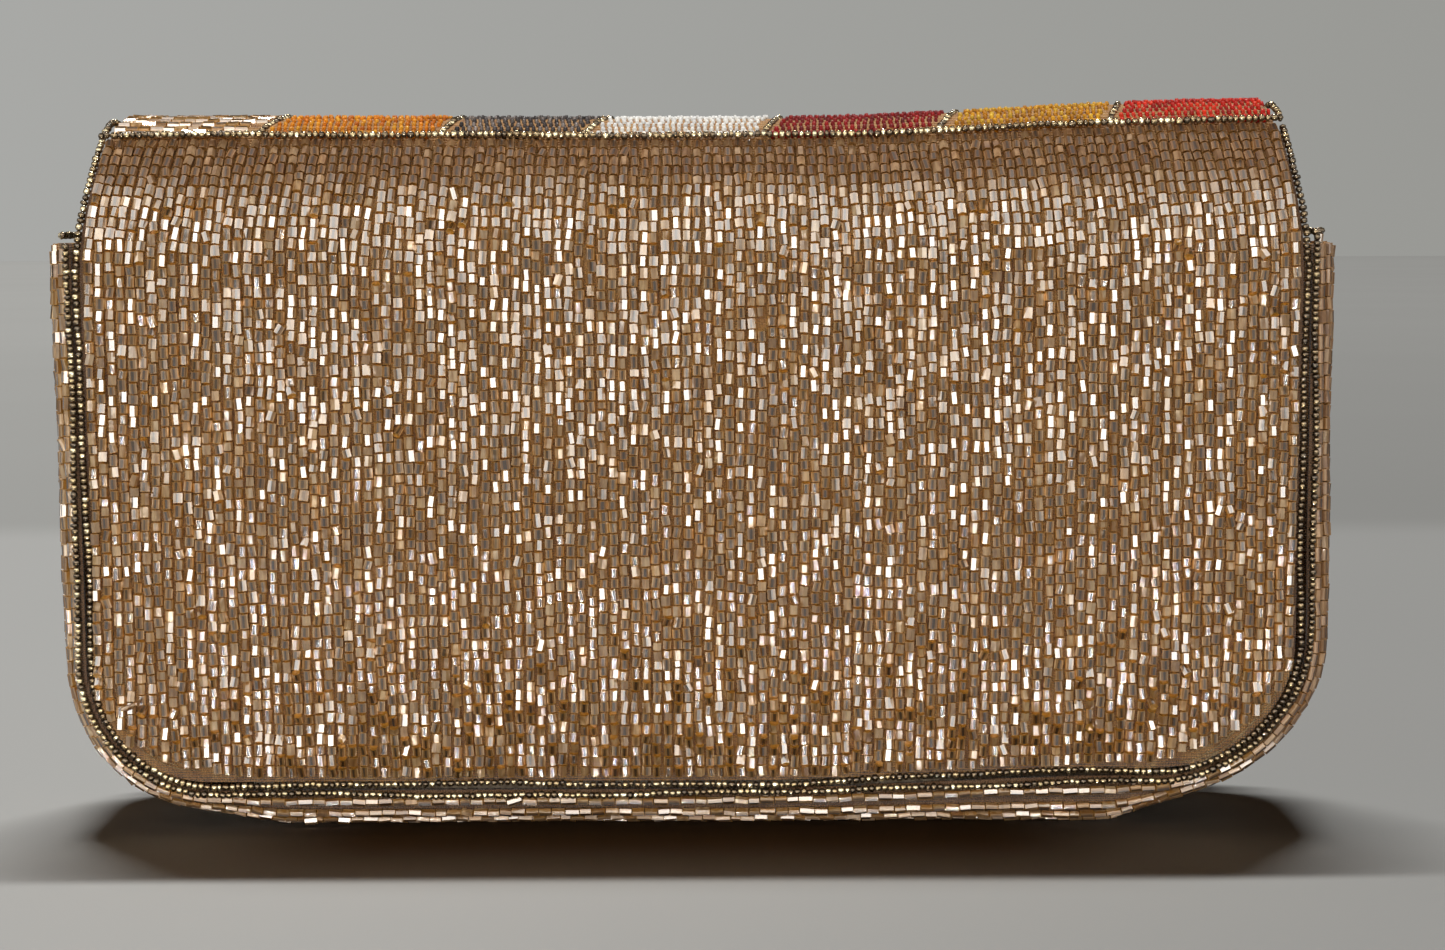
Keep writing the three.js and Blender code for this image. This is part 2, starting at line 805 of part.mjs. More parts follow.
add("flap_cloth", flapPly(0, clothThickness, 0), pearlCloth);
add("flap_stiffener", flapStiffener(), board);
add("flap_lining", flapPly(liningFace, liningThickness, stiffenerInset / 2), satin);
bandNames.forEach((name, i) => add(`flap_field_${name}`, beadField(i), bandMaterials[name]));
bandEdges.forEach((_, i) => add(`field_outline_${i + 1}`, bandOutline(i), seedBead));
add("flap_edging", flapEdging(), seedBead);
add("snap_stud", snapStud(), nickel);
add("snap_stud_washer", studWasher(), nickel);

export default bag;
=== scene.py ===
import json
import math
import bpy
import numpy as np
from mathutils import Matrix, Vector

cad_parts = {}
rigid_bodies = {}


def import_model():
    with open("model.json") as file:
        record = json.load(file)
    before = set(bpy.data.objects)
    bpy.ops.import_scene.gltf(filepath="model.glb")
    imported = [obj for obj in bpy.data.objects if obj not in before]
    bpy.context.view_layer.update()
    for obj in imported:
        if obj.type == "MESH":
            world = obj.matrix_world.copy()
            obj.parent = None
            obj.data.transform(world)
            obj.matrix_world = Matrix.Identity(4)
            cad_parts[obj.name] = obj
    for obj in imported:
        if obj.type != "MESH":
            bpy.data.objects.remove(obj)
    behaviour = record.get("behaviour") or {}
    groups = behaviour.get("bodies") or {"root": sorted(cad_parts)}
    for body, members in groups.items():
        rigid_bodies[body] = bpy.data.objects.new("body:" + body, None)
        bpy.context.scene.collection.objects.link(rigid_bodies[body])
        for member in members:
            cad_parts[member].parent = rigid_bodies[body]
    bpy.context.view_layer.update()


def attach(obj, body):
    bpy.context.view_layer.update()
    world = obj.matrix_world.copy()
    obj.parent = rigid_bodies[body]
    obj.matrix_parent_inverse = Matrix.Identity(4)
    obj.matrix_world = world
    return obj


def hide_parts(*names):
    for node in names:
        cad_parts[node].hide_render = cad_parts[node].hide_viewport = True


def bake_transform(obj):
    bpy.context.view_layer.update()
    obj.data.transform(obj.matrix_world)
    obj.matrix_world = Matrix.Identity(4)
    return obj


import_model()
scene = bpy.context.scene
scene.view_settings.view_transform = "Standard"
mm = 0.001

# ---- shader nodes: each call adds a node, sets it and wires what it is given


class Shader:
    def __init__(self, owner):
        owner.use_nodes = True
        self.owner, self.nodes, self.links = owner, owner.node_tree.nodes, owner.node_tree.links
        self.nodes.clear()

    def add(self, kind, sockets={}, **settings):
        node = self.nodes.new("ShaderNode" + kind)
        for key, value in settings.items():
            setattr(node, key, value)
        for key, value in sockets.items():
            socket = node.inputs[key]
            if isinstance(value, bpy.types.NodeSocket):
                self.links.new(value, socket)
            else:
                socket.default_value = (*value, 1) if socket.type == "RGBA" else value
        return node

    def calc(self, operation, *values):
        return self.add("Math", dict(enumerate(values)), operation=operation).outputs[0]

    def mix(self, amount, a, b, how="MIX"):
        return self.add("Mix", {0: amount, 6: a, 7: b}, data_type="RGBA", blend_type=how).outputs[2]

    def times(self, a, b, amount=1.0):
        return self.mix(amount, a, b, "MULTIPLY")

    def ramp(self, source, *stops):
        node = self.add("ValToRGB", {0: source})
        points = node.color_ramp.elements
        while len(points) < len(stops):
            points.new(0.5)
        for point, (position, tone) in zip(points, stops):
            point.position = position
            point.color = (*((tone,) * 3 if isinstance(tone, (int, float)) else tone), 1)
        return node.outputs[0]

    def span(self, source, low, high, start=0.0, end=1.0, how="SMOOTHSTEP"):
        limits = {"Value": source, "From Min": low, "From Max": high, "To Min": start, "To Max": end}
        return self.add("MapRange", limits, interpolation_type=how).outputs[0]

    def mark(self, name):
        return self.add("Attribute", attribute_type="GEOMETRY", attribute_name=name).outputs["Fac"]

    def spot(self, kind="Object"):
        return self.add("TexCoord").outputs[kind]

    def noise(self, scale, detail=2.0, stretch=None):
        vector = self.spot()
        if stretch:
            vector = self.add("Mapping", {"Vector": vector, "Scale": stretch}).outputs[0]
        return self.add("TexNoise", {"Scale": scale, "Detail": detail, "Vector": vector}).outputs["Fac"]

    def wave(self, direction, scale, distortion, detail=2.0):
        sockets = {"Scale": scale, "Distortion": distortion, "Detail": detail, "Vector": self.spot()}
        return self.add("TexWave", sockets, bands_direction=direction).outputs["Fac"]

    def bump(self, height, strength, distance):
        sockets = {"Height": height, "Strength": strength, "Distance": distance}
        return self.add("Bump", sockets).outputs["Normal"]

    def surface(self, sockets):
        self.add("OutputMaterial", {"Surface": self.add("BsdfPrincipled", sockets).outputs[0]})
        return self.owner


def newShader(name):
    return Shader(bpy.data.materials.new(name))


# ---- meshes, in millimetres

def meshPiece(name, verts, faces, material, smooth=True, marks={}):
    mesh = bpy.data.meshes.new(name)
    mesh.from_pydata((np.asarray(verts) * mm).tolist(), [], faces)
    for key, values in marks.items():
        layer = mesh.attributes.new(key, "FLOAT", "POINT")
        layer.data.foreach_set("value", np.asarray(values, np.float32))
    if smooth:
        mesh.polygons.foreach_set("use_smooth", [True] * len(mesh.polygons))
    mesh.materials.append(material)
    piece = bpy.data.objects.new(name, mesh)
    scene.collection.objects.link(piece)
    return piece


def place(piece, body, slot, *nodes):
    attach(piece, body)
    if nodes:
        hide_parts(*nodes)
    return piece


def stackUp(*parts):
    return np.stack(np.broadcast_arrays(*parts), -1)


def unit(v):
    return v / np.maximum(np.linalg.norm(v, axis=-1, keepdims=True), 1e-9)


def smoothStep(low, high, v):
    t = np.clip((np.asarray(v, float) - low) / (high - low), 0, 1)
    return t * t * (3 - 2 * t)


# quads between rings of points that follow one another
def ringFaces(rings, around, closed=False):
    faces = []
    for r in range(rings if closed else rings - 1):
        here, there = r * around, (r + 1) % rings * around
        for k in range(around):
            n = (k + 1) % around
            faces.append((here + k, here + n, there + n, there + k))
    return faces


# a closed sheet between two grids of points, with an optional mark for painted shade in the seam grooves
def sheetMesh(name, outer, inner, material, groove=None):
    rows, cols = outer.shape[:2]
    n = rows * cols
    index = np.arange(n).reshape(rows, cols)
    quads = np.stack([index[:-1, :-1], index[:-1, 1:], index[1:, 1:], index[1:, :-1]], -1).reshape(-1, 4)
    faces = np.stack([quads, quads[:, ::-1] + n], 1).reshape(-1, 4).tolist()
    rim = np.concatenate([index[0], index[1:, -1], index[-1, -2::-1], index[-2:0:-1, 0]]).tolist()
    faces += [(b, a, a + n, b + n) for a, b in zip(rim, rim[1:] + rim[:1])]
    marks = {} if groove is None else {"groove": np.tile(np.broadcast_to(groove, (rows, cols)).reshape(-1), 2)}
    verts = np.concatenate([outer.reshape(-1, 3), inner.reshape(-1, 3)])
    return meshPiece(name, verts, faces, material, True, marks)


# ---- camera, floor and light

print("camera, floor and light")
view = dict(place=(5.8, -477.0, 119.3), pitchDown=6.0, roll=-0.22, focalPixels=2342.0, imageWidth=1445.0,
            sensor=36.0)


def placeCamera(s):
    camera = bpy.data.objects.new("camera", bpy.data.cameras.new("camera"))
    scene.collection.objects.link(camera)
    camera.data.sensor_fit = "HORIZONTAL"
    camera.data.sensor_width = s["sensor"]
    camera.data.lens = s["focalPixels"] / s["imageWidth"] * s["sensor"]
    camera.data.clip_start = 0.01
    camera.matrix_world = (Matrix.Translation(Vector(s["place"]) * mm)
                           @ Matrix.Rotation(math.radians(90 - s["pitchDown"]), 4, "X")
                           @ Matrix.Rotation(math.radians(s["roll"]), 4, "Z"))
    scene.camera = camera


placeCamera(view)

# lengths of the sheet in millimetres, the places of its tones in metres as the shader reads them
sweep = dict(front=-3600.0, far=9000.0, side=6000.0, line=452.0, lineBlur=34.0,
             floor=(0.402, 0.403, 0.388), past=(0.340, 0.341, 0.326), grain=0.06,
             # painted light: the paper's tone falls off from left to right and grows lighter farther back
             eye=0.477, bearing=0.36, paintedFalloff=(1.15, 0.86), paintedFarLift=((0.5, 2.4, 1.06), (4.6, 9.4, 1.12)),
             # a dark brown painted contact shadow under the bag's front, inside the edges on the next line
             paintedContactShadow=(0.27, 0.18, 0.11),
             paintedShadowEdges=(("Y", -0.068, -0.026), ("Y", 0.026, 0.004), ("X", -0.112, -0.060), ("X", 0.108, 0.055)))


# grey paper: a darker stretch past a soft line behind the bag, painted light that falls off to the right and lifts
# farther back, and a painted contact shadow under the bag's front
def sweepMaterial(s):
    g = newShader("paper sweep")
    parts = g.add("SeparateXYZ", {0: g.spot()}).outputs
    past = g.span(parts["Y"], (s["line"] - s["lineBlur"]) * mm, (s["line"] + s["lineBlur"]) * mm)
    bearing = g.calc("DIVIDE", parts["X"], g.calc("ADD", parts["Y"], s["eye"]))
    # painted light: the paper's tone falls off to the right and lifts farther back
    light = g.span(bearing, -s["bearing"], s["bearing"], *s["paintedFalloff"])
    for near, far, pale in s["paintedFarLift"]:
        light = g.calc("MULTIPLY", light, g.span(parts["Y"], near, far, 1.0, pale))
    tone = g.mix(past, s["floor"], s["past"])
    lit = g.add("VectorMath", {0: tone, "Scale": light}, operation="SCALE").outputs[0]
    shade = g.times(lit, g.noise(3.0), s["grain"])
    # painted contact shadow: a dark brown patch on the paper under the bag's front
    paintedShadowMask = None
    for axis, outer, inner in s["paintedShadowEdges"]:
        edge = g.span(parts[axis], outer, inner)
        paintedShadowMask = edge if paintedShadowMask is None else g.calc("MULTIPLY", paintedShadowMask, edge)
    colour = g.times(shade, s["paintedContactShadow"], paintedShadowMask)
    return g.surface({"Base Color": colour, "Roughness": 0.6, "Specular IOR Level": 0.0})


def makeSweep(s):
    verts = [(x, y, 0.0) for y in (s["front"], s["far"]) for x in (-s["side"], s["side"])]
    sheet = meshPiece("paper_sweep", verts, [(0, 1, 3, 2)], sweepMaterial(s))
    sheet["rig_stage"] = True


makeSweep(sweep)

# a long ceiling tube high behind the bag, and low soft boxes that only the bag catches
ceiling = {
    "ceilingTube": dict(place=(-300, 5350, 19000), aim=(0, 0, 0), size=(9000, 620), power=3700.0),
}
softBoxes = {
    "boxLeft": dict(place=(-420, -1150, 330), aim=(0, 0, 80), size=(260, 620), power=3.0),
    "boxMiddle": dict(place=(60, -1250, 500), aim=(0, 0, 80), size=(300, 760), power=3.4),
    "boxRight": dict(place=(560, -1100, 300), aim=(0, 0, 80), size=(160, 480), power=0.9),
    "boxTop": dict(place=(-60, -620, 1150), aim=(0, 0, 110), size=(700, 300), power=0.3),
    "paperBounce": dict(place=(-40, -720, -270), aim=(0, 0, 30), size=(1000, 400), power=9.5),
}
boxTint = (1.0, 0.985, 0.95)
# the room: dim for the paper, the backdrop for the camera with painted light falling off to the right, bright windows
# in front for reflections
room = dict(fill=(0.026, 0.015, 0.008), backdropLeft=(0.395, 0.397, 0.382), backdropRight=(0.318, 0.318, 0.300),
            dim=(0.105, 0.080, 0.050), bright=(3.0, 2.95, 2.8), low=0.16, high=0.80, patchScale=2.6)


def placeLamps():
    boxes = []
    for name, s in {**ceiling, **softBoxes}.items():
        lamp = bpy.data.lights.new(name, "AREA")
        lamp.shape, lamp.energy = "RECTANGLE", s["power"]
        lamp.size, lamp.size_y = s["size"][0] * mm, s["size"][1] * mm
        lampObject = bpy.data.objects.new(name, lamp)
        scene.collection.objects.link(lampObject)
        spot, aim = Vector(s["place"]) * mm, Vector(s["aim"]) * mm
        lampObject.location = spot
        lampObject.rotation_euler = (aim - spot).to_track_quat("-Z", "Y").to_euler()
        if name in softBoxes:
            lamp.color = boxTint
            aboveFloor = s["place"][2] > 0  # the box below the paper gives glints alone
            lamp.cycles.use_multiple_importance_sampling = aboveFloor
            lampObject.visible_diffuse = aboveFloor
            boxes.append(lampObject)
    return boxes


def makeRoom(s):
    g = Shader(bpy.data.worlds.new("studio"))
    ray = g.spot("Generated")
    parts = g.add("SeparateXYZ", {0: ray}).outputs
    # painted light: the camera's backdrop is lighter on the left and falls off to the right
    backdrop = g.mix(g.span(parts["X"], -0.3, 0.3, how="LINEAR"), s["backdropLeft"], s["backdropRight"])
    inFront = g.span(parts["Y"], 0.25, -0.1, how="LINEAR")
    band = g.ramp(parts["Z"], (0.0, 0.25), (0.02, 0.0), (s["low"], 1.0), (s["high"], 1.0), (s["high"] + 0.1, 0.0))
    panes = g.add("TexNoise", {"Scale": s["patchScale"], "Detail": 1.0, "Vector": ray}).outputs["Fac"]
    shape = g.times(g.times(band, g.ramp(panes, (0.42, 0.12), (0.5, 1.0))), inFront)
    path = g.add("LightPath").outputs
    colour = g.mix(path["Is Glossy Ray"], s["fill"], g.mix(shape, s["dim"], s["bright"]))
    colour = g.mix(path["Is Camera Ray"], colour, backdrop)
    g.add("OutputWorld", {0: g.add("Background", {0: colour}).outputs[0]})
    scene.world = g.owner


makeRoom(room)
boxLamps = placeLamps()

# ---- the bag's form, in millimetres, the same as the solids with the real bag's unevenness

print("form of the bag")
form = dict(halfWidth=118.0, bottom=11.1, leftCorner=22.5, rightCorner=26.5, mouth=112.0, ear=117.0,
            archTop=140.0, backSeam=-19.5, frontSeam=13.6, flapFace=21.6, belly=3.2, frontBelly=1.5,
            topTaper=3.0, foldAngle=math.radians(60), hem=18.0, hemCorner=24.0,
            rightLift=2.7, middleDip=0.5, leftNarrow=0.7, rightSwell=0.9, rightRise=2.3, wander=0.4)
plies = dict(cloth=0.8, beads=1.5, card=1.2, flapCard=1.0, lining=0.8, gap=0.2)
halfWidth, mouth, ear, ply = form["halfWidth"], form["mouth"], form["ear"], plies["cloth"]
seamOut = ply + plies["gap"]

archAngles = np.linspace(math.pi, 0, 721)
archMiddle = (form["backSeam"] + form["flapFace"]) / 2
archDepth = (form["flapFace"] - form["backSeam"]) / 2
archY = archMiddle + archDepth * np.cos(archAngles)
archZ = mouth + (form["archTop"] - mouth) * np.sin(archAngles)
archRun = np.concatenate([[0], np.cumsum(np.hypot(np.diff(archY), np.diff(archZ)))])
archLength = archRun[-1]
foldRun = float(np.interp(form["foldAngle"], math.pi - archAngles, archRun))
flapEnd = archLength + mouth - form["hem"]
flapHalf = halfWidth - form["topTaper"]


# how far a panel swells out: the back's crest lies low, the front's in the middle
def swell(x, z, height, low):
    rise = np.clip((z - form["bottom"]) / (mouth - form["bottom"]), 0, 1)
    across = 1 - np.minimum(1, np.abs(x) / halfWidth) ** 4
    shape = 5.38 * rise * (1 - rise) ** 1.5 if low else np.sin(np.pi * rise) ** 2
    return height * shape * across


def unevenness(x, z):
    return form["wander"] * (np.sin(0.051 * x + 0.6) * np.sin(0.047 * z + 1.9)
                             + 0.5 * np.sin(0.093 * x - 0.071 * z + 2.3))


# the outer cloth by its run: below 0 down the back, then over the arch, then down the flap
def shellBase(x, run):
    x, run = np.broadcast_arrays(np.asarray(x, float), np.asarray(run, float))
    zBack = mouth + run
    fade = smoothStep(0, -22, run) * smoothStep(form["bottom"], form["bottom"] + 12, zBack)
    yBack = form["backSeam"] - swell(x, zBack, form["belly"], True) - fade * unevenness(x, zBack)
    part = np.clip(run / archLength, 0, 1)
    lift = form["rightLift"] * smoothStep(20, 112, x) - form["middleDip"] * np.exp(-(x / 50) ** 2)
    zArch = np.interp(run, archRun, archZ) + lift * np.sin(np.pi * part) ** 0.8
    onBack, onArch = run <= 0, run < archLength
    y = np.where(onBack, yBack, np.where(onArch, np.interp(run, archRun, archY), form["flapFace"]))
    z = np.where(onBack, zBack, np.where(onArch, zArch, mouth - (run - archLength)))
    return stackUp(x, y, z)


def frontBase(x, z):
    return stackUp(x, form["frontSeam"] + swell(x, z, form["frontBelly"], False), z)


def offSurface(surface, x, run, out, flip=1.0):
    step = 0.25
    across = surface(x + step, run) - surface(x - step, run)
    along = surface(x, run + step) - surface(x, run - step)
    normal = unit(np.cross(across, along)) * flip
    return surface(x, run) + normal * np.asarray(out, float)[..., None], normal


def shell(x, run, out):
    return offSurface(shellBase, x, run, out)


def front(x, z, out):
    return offSurface(frontBase, x, z, out, -1.0)


def halfAt(run):
    return halfWidth - form["topTaper"] * smoothStep(0, foldRun, run)


# places across the width that crowd towards the sides
def crowded(count):
    return np.sin(np.linspace(-1, 1, count) * math.pi / 2)


# how far the bottom rises towards the right corner
def rightRise(x):
    return form["rightRise"] * smoothStep(8, 84, x)


def climb(x, z):
    return rightRise(x) * (1 - smoothStep(0, 46, z - form["bottom"]))


# the height of a round corner, as far past its start
def cornerHeight(level, past, radius):
    return level + radius - np.sqrt(np.maximum(radius ** 2 - np.clip(past, 0, radius) ** 2, 0))


def bottomEdge(x):
    radius = np.where(x < 0, form["leftCorner"], form["rightCorner"])
    z = cornerHeight(form["bottom"], np.abs(x) - (halfWidth - radius), radius)
    return z + climb(x, z)


def hemLift(x):
    return cornerHeight(0, np.abs(x) - (flapHalf - form["hemCorner"]), form["hemCorner"])


# the seam outline in X and Z with its outward direction, from the left top down and round to the right top
def seamLine(out, top, half, bottom, leftCorner, rightCorner):
    step, pieces = 0.5, []
    for side, radius in ((-1, leftCorner), (1, rightCorner)):
        straight = np.arange(top, bottom + radius, -step)
        corner = np.linspace(0, math.pi / 2, int(radius * 1.6 / step))
        down = stackUp(side * half, straight, side, 0.0)
        bend = stackUp(side * (half - radius + radius * np.cos(corner)), bottom + radius - radius * np.sin(corner),
                       side * np.cos(corner), -np.sin(corner))
        line = np.concatenate([down, bend])
        pieces.append(line if side < 0 else line[::-1])
    flat = stackUp(np.arange(-half + leftCorner + step, half - rightCorner, step), bottom, 0.0, -1.0)
    line = np.concatenate([pieces[0], flat, pieces[1]])
    if bottom == form["bottom"]:
        line[:, 1] += climb(line[:, 0], line[:, 1])
    low = np.clip(1 - line[:, 1] / 100, 0, 1)
    shift = np.where(line[:, 0] < 0, -form["leftNarrow"], form["rightSwell"]) * low * np.abs(line[:, 2])
    line[:, 0] += line[:, 2] * (out + (shift if out == 0 else 0.6 * shift))
    line[:, 1] += line[:, 3] * out
    return line


def bodySeam(out, top):
    return seamLine(out, top, halfWidth, form["bottom"], form["leftCorner"], form["rightCorner"])


# ---- beads: one mesh for each field, with marks on its points that the glass reads

# how evenly beads are cut and lie; a few wild ones lean farther
habits = dict(lengthSpread=0.05, radiusSpread=0.06, sideSpread=0.07, liftSpread=0.05, wildShare=0.03,
              wildTip=0.2, tip=0.05, turn=0.04)

# rings of points round each bead: a share of the radius and of the half length for each ring
cutTube = [(0.0, -0.72), (1.0, -1.0), (1.0, 1.0), (0.0, 0.72)]
seedRound = [(0.52, -0.95), (1.0, -0.52), (1.0, 0.52), (0.52, 0.95)]
chipRound = [(0.0, -0.86), (1.0, -0.42), (1.0, 0.42), (0.0, 0.86)]


# the faces of one bead; a ring of no radius is a single point
def beadFaces(profile, sides):
    faces, start = [], 0
    for (shareA, _), (shareB, _) in zip(profile[:-1], profile[1:]):
        a, b = start, start + (sides if shareA > 0 else 1)
        for k in range(sides):
            n = (k + 1) % sides
            if shareA == 0:
                faces.append((a, b + n, b + k))
            elif shareB == 0:
                faces.append((a + k, a + n, b))
            else:
                faces.append((a + k, a + n, b + n, b + k))
        start = b
    if profile[0][0] > 0:
        faces += [tuple(range(sides - 1, -1, -1)), tuple(range(start, start + sides))]
    return faces


def beadMesh(name, beads, profile, sides, material, smooth=False):
    centre, along, out = beads["centre"], unit(beads["along"]), unit(beads["out"])
    side = unit(np.cross(along, out))
    along = unit(along + out * np.tan(beads["tip"][:, None]) + side * np.tan(beads["turn"][:, None]))
    side = unit(np.cross(along, out))
    out = np.cross(side, along)
    verts, marks = [], dict(lateral=[], length=[], tone=[], matteAndShade=[])
    for share, reach in profile:
        for k in range(sides if share > 0 else 1):
            angle = 2 * math.pi * k / sides + beads["roll"]
            radius = beads["radius"] * share
            verts.append(centre + along * (beads["half"] * reach)[:, None]
                         + side * (radius * np.sin(angle))[:, None] + out * (radius * np.cos(angle))[:, None])
            marks["lateral"].append(share * np.sin(angle))
            marks["length"].append(np.full(len(centre), reach if share > 0.5 else reach * 1.6))
            marks["tone"].append(beads["tone"])
            marks["matteAndShade"].append(beads["matteAndShade"])
    first = np.arange(len(centre))[:, None] * len(verts)
    faces = [face for corners in beadFaces(profile, sides) for face in (first + np.array(corners)).tolist()]
    marks = {key: np.stack(values, 1).reshape(-1) for key, values in marks.items()}
    return meshPiece(name, np.stack(verts, 1).reshape(-1, 3), faces, material, smooth, marks)


def merge(rows):
    return {key: np.concatenate([row[key] for row in rows]) for key in rows[0]}


# a row of tubes threaded along a path of points; gaps are left where keep says no
def tubeRow(points, outs, s, draw, start=0.0, keep=None):
    run = np.concatenate([[0], np.cumsum(np.linalg.norm(np.diff(points, axis=0), axis=1))])
    count = int((run[-1] - start) / s["pitch"]) + 2
    ends = start + s["pitch"] * (np.arange(count) + 1 + draw.normal(0, s["lengthSpread"], count))
    if "drift" in s:  # pinned at both ends, and wandering in between
        count = max(1, int(round((run[-1] - start) / s["pitch"])))
        walk = np.cumsum(draw.normal(0, s["drift"], count))
        share = (np.arange(count) + 1) / count
        wander = walk - walk[-1] * share + draw.normal(0, s["lengthSpread"], count)
        ends = start + (run[-1] - start) * share + s["pitch"] * wander
    lengths = np.diff(np.concatenate([[start], ends]))
    middle = ends - lengths / 2
    inside = (middle - lengths / 2 > -0.2) & (ends < run[-1] + s.get("overrun", 0.25))
    middle, lengths = middle[inside], lengths[inside]
    n = len(middle)

    def sample(line, shift=0.0):
        return np.stack([np.interp(middle + shift, run, line[:, k]) for k in range(3)], -1)

    at, out = sample(points), unit(sample(outs))
    along = unit(sample(points, 0.5) - sample(points, -0.5))
    side = np.cross(along, out)
    at = at + side * draw.normal(0, s["sideSpread"], n)[:, None] + out * draw.normal(0, s["liftSpread"], n)[:, None]
    wild = draw.random(n) < s["wildShare"]
    row = dict(centre=at, along=along, out=out,
               tip=draw.normal(0, 1, n) * np.where(wild, s["wildTip"], s["tip"]),
               turn=draw.normal(0, 1, n) * np.where(wild, s["wildTip"], s["turn"]),
               roll=draw.uniform(0, 2 * math.pi, n), half=(lengths - s["space"]) / 2,
               radius=s["radius"] * (1 + draw.normal(0, s["radiusSpread"], n)),
               tone=draw.random(n), matteAndShade=np.zeros(n))
    if keep is not None:
        kept = keep(at)
        row = {key: value[kept] for key, value in row.items()}
    return row


# ---- bead glass and cloth

# clear tube glass: a pale rim down each side, a dark hole in the middle of some, brown thread at the ends, and duller
# glass with painted shade where the matte mark is set
def tubeGlass(name, s):
    g = newShader(name)
    tone, matteAndShade = g.mark("tone"), g.mark("matteAndShade")
    streak = g.noise(900.0, 1.5, (1.0, 1.0, 0.25))
    sway = g.calc("MULTIPLY", g.calc("SUBTRACT", streak, 0.5), 0.35)
    across = g.calc("ADD", g.calc("ABSOLUTE", g.mark("lateral")), sway)
    clear = g.ramp(across, (0.0, s["hole"]), (0.2, s["hole"]), (0.36, s["body"]), (0.60, s["body"]),
                   (0.76, s["rim"]), (0.88, s["edge"]), (1.0, s["edge"]))
    milky = g.ramp(streak, (0.3, s["body"]), (0.7, s["rim"]))
    kind = g.ramp(tone, (0.0, 0), (s["clearShare"], 0.12), (s["clearShare"] + 0.04, 1))
    other = g.calc("FRACT", g.calc("MULTIPLY", tone, 7.31))  # a second chance number from the first
    depth = g.ramp(other, (0.0, s["deep"]), (0.5, 1), (1.0, s["light"]))
    ends = g.ramp(g.calc("ABSOLUTE", g.mark("length")), (0.80, 0), (0.90, 0.3), (1.0, 0.9))
    colour = g.mix(ends, g.times(g.mix(kind, clear, milky), depth), s["thread"])
    # where the matte mark is set the glass is rougher with less coat, and its colour is darker as painted shade
    return g.surface({
        "Base Color": g.mix(matteAndShade, colour, g.times(colour, s["paintedShadeTone"])), "Metallic": s["metal"], "IOR": 1.52,
        "Roughness": g.calc("ADD", s["rough"], g.calc("MULTIPLY", matteAndShade, 0.5)),
        "Coat Weight": g.calc("MULTIPLY", g.calc("SUBTRACT", 1.0, matteAndShade), s["coat"]),
        "Coat Roughness": 0.05, "Coat IOR": s["coatIor"],
        "Normal": g.bump(g.noise(420.0), s["ripple"], 0.0004)})


def seedGlass(name, s):
    g = newShader(name)
    patches = g.ramp(g.noise(260.0), (0.3, s["patchy"]), (0.7, (1.15, 1.12, 1.05)))
    ends = g.ramp(g.calc("ABSOLUTE", g.mark("length")), (0.8, 0), (0.95, 1))
    colour = g.mix(ends, g.times(g.ramp(g.mark("tone"), *s["tones"]), patches), s["thread"])
    return g.surface({
        "Base Color": colour, "Metallic": s["metal"], "Roughness": s["rough"], "Coat Weight": s["coat"],
        "Coat Roughness": 0.06, "Specular IOR Level": s["specular"],
        "Normal": g.bump(g.noise(700.0), 0.25, 0.0003)})


# plain woven cloth with couching threads lying on it
def wovenCloth(name, s):
    g = newShader(name)
    weave = g.calc("ADD", g.wave("X", s["weave"], 1.6, 1.0), g.wave("Z", s["weave"], 1.6, 1.0))
    fibre = g.noise(s["fibre"], 3.0, s["fibreStretch"])
    colour = g.ramp(fibre, (0.28, s["dark"]), (0.5, s["middle"]), (0.74, s["light"]))
    colour = g.times(colour, g.ramp(weave, (0.1, (0.55, 0.5, 0.42)), (0.9, 1)), 0.5)
    colour = g.times(colour, g.ramp(g.noise(45.0, 3.0), (0.3, (0.82, 0.76, 0.66)), (0.7, (1.1, 1.06, 1.0))), 0.6)
    # painted shade: the cloth turns dark brown where it runs into the seam grooves
    colour = g.mix(g.mark("groove"), colour, s["groove"])
    height = g.calc("ADD", weave, g.calc("MULTIPLY", fibre, 1.5))
    return g.surface({"Base Color": colour, "Roughness": 0.75, "Sheen Weight": 0.15,
                      "Normal": g.bump(height, 0.7, 0.0003)})


# the matte tone is painted shade that darkens the bead colour
champagneLook = dict(hole=(0.085, 0.045, 0.017), body=(0.355, 0.192, 0.066), rim=(0.77, 0.55, 0.30),
                     edge=(0.49, 0.240, 0.045), deep=(0.66, 0.52, 0.36), light=(1.24, 1.14, 1.04),
                     thread=(0.62, 0.310, 0.045), paintedShadeTone=(0.50, 0.43, 0.38),
                     clearShare=0.78, metal=0.08, rough=0.13, coat=1.0, coatIor=2.15, ripple=0.22)
seamSeedLook = dict(tones=[(0.0, (0.05, 0.032, 0.014)), (0.3, (0.14, 0.095, 0.045)), (0.62, (0.34, 0.26, 0.14)),
                           (1.0, (0.74, 0.67, 0.49))],
                    thread=(0.05, 0.022, 0.008), patchy=(0.62, 0.58, 0.5), metal=0.85, rough=0.12, coat=0.8,
                    specular=0.5)
# the groove colour is painted shade for the cloth in the seam grooves
groundLook = dict(weave=620.0, fibre=520.0, fibreStretch=(1.0, 1.0, 0.3), dark=(0.22, 0.086, 0.014),
                  middle=(0.42, 0.20, 0.045), light=(0.60, 0.35, 0.12), groove=(0.13, 0.058, 0.018))
threadLook = dict(groundLook, dark=(0.26, 0.14, 0.045), middle=(0.42, 0.27, 0.11), light=(0.60, 0.44, 0.24))
champagneGlass = tubeGlass("champagne tube glass", champagneLook)
seamSeeds = seedGlass("silver lined bronze seeds", seamSeedLook)
groundCloth = wovenCloth("orange brown ground cloth", groundLook)

# ---- back panel: strings of champagne tubes from the fold down to the seam

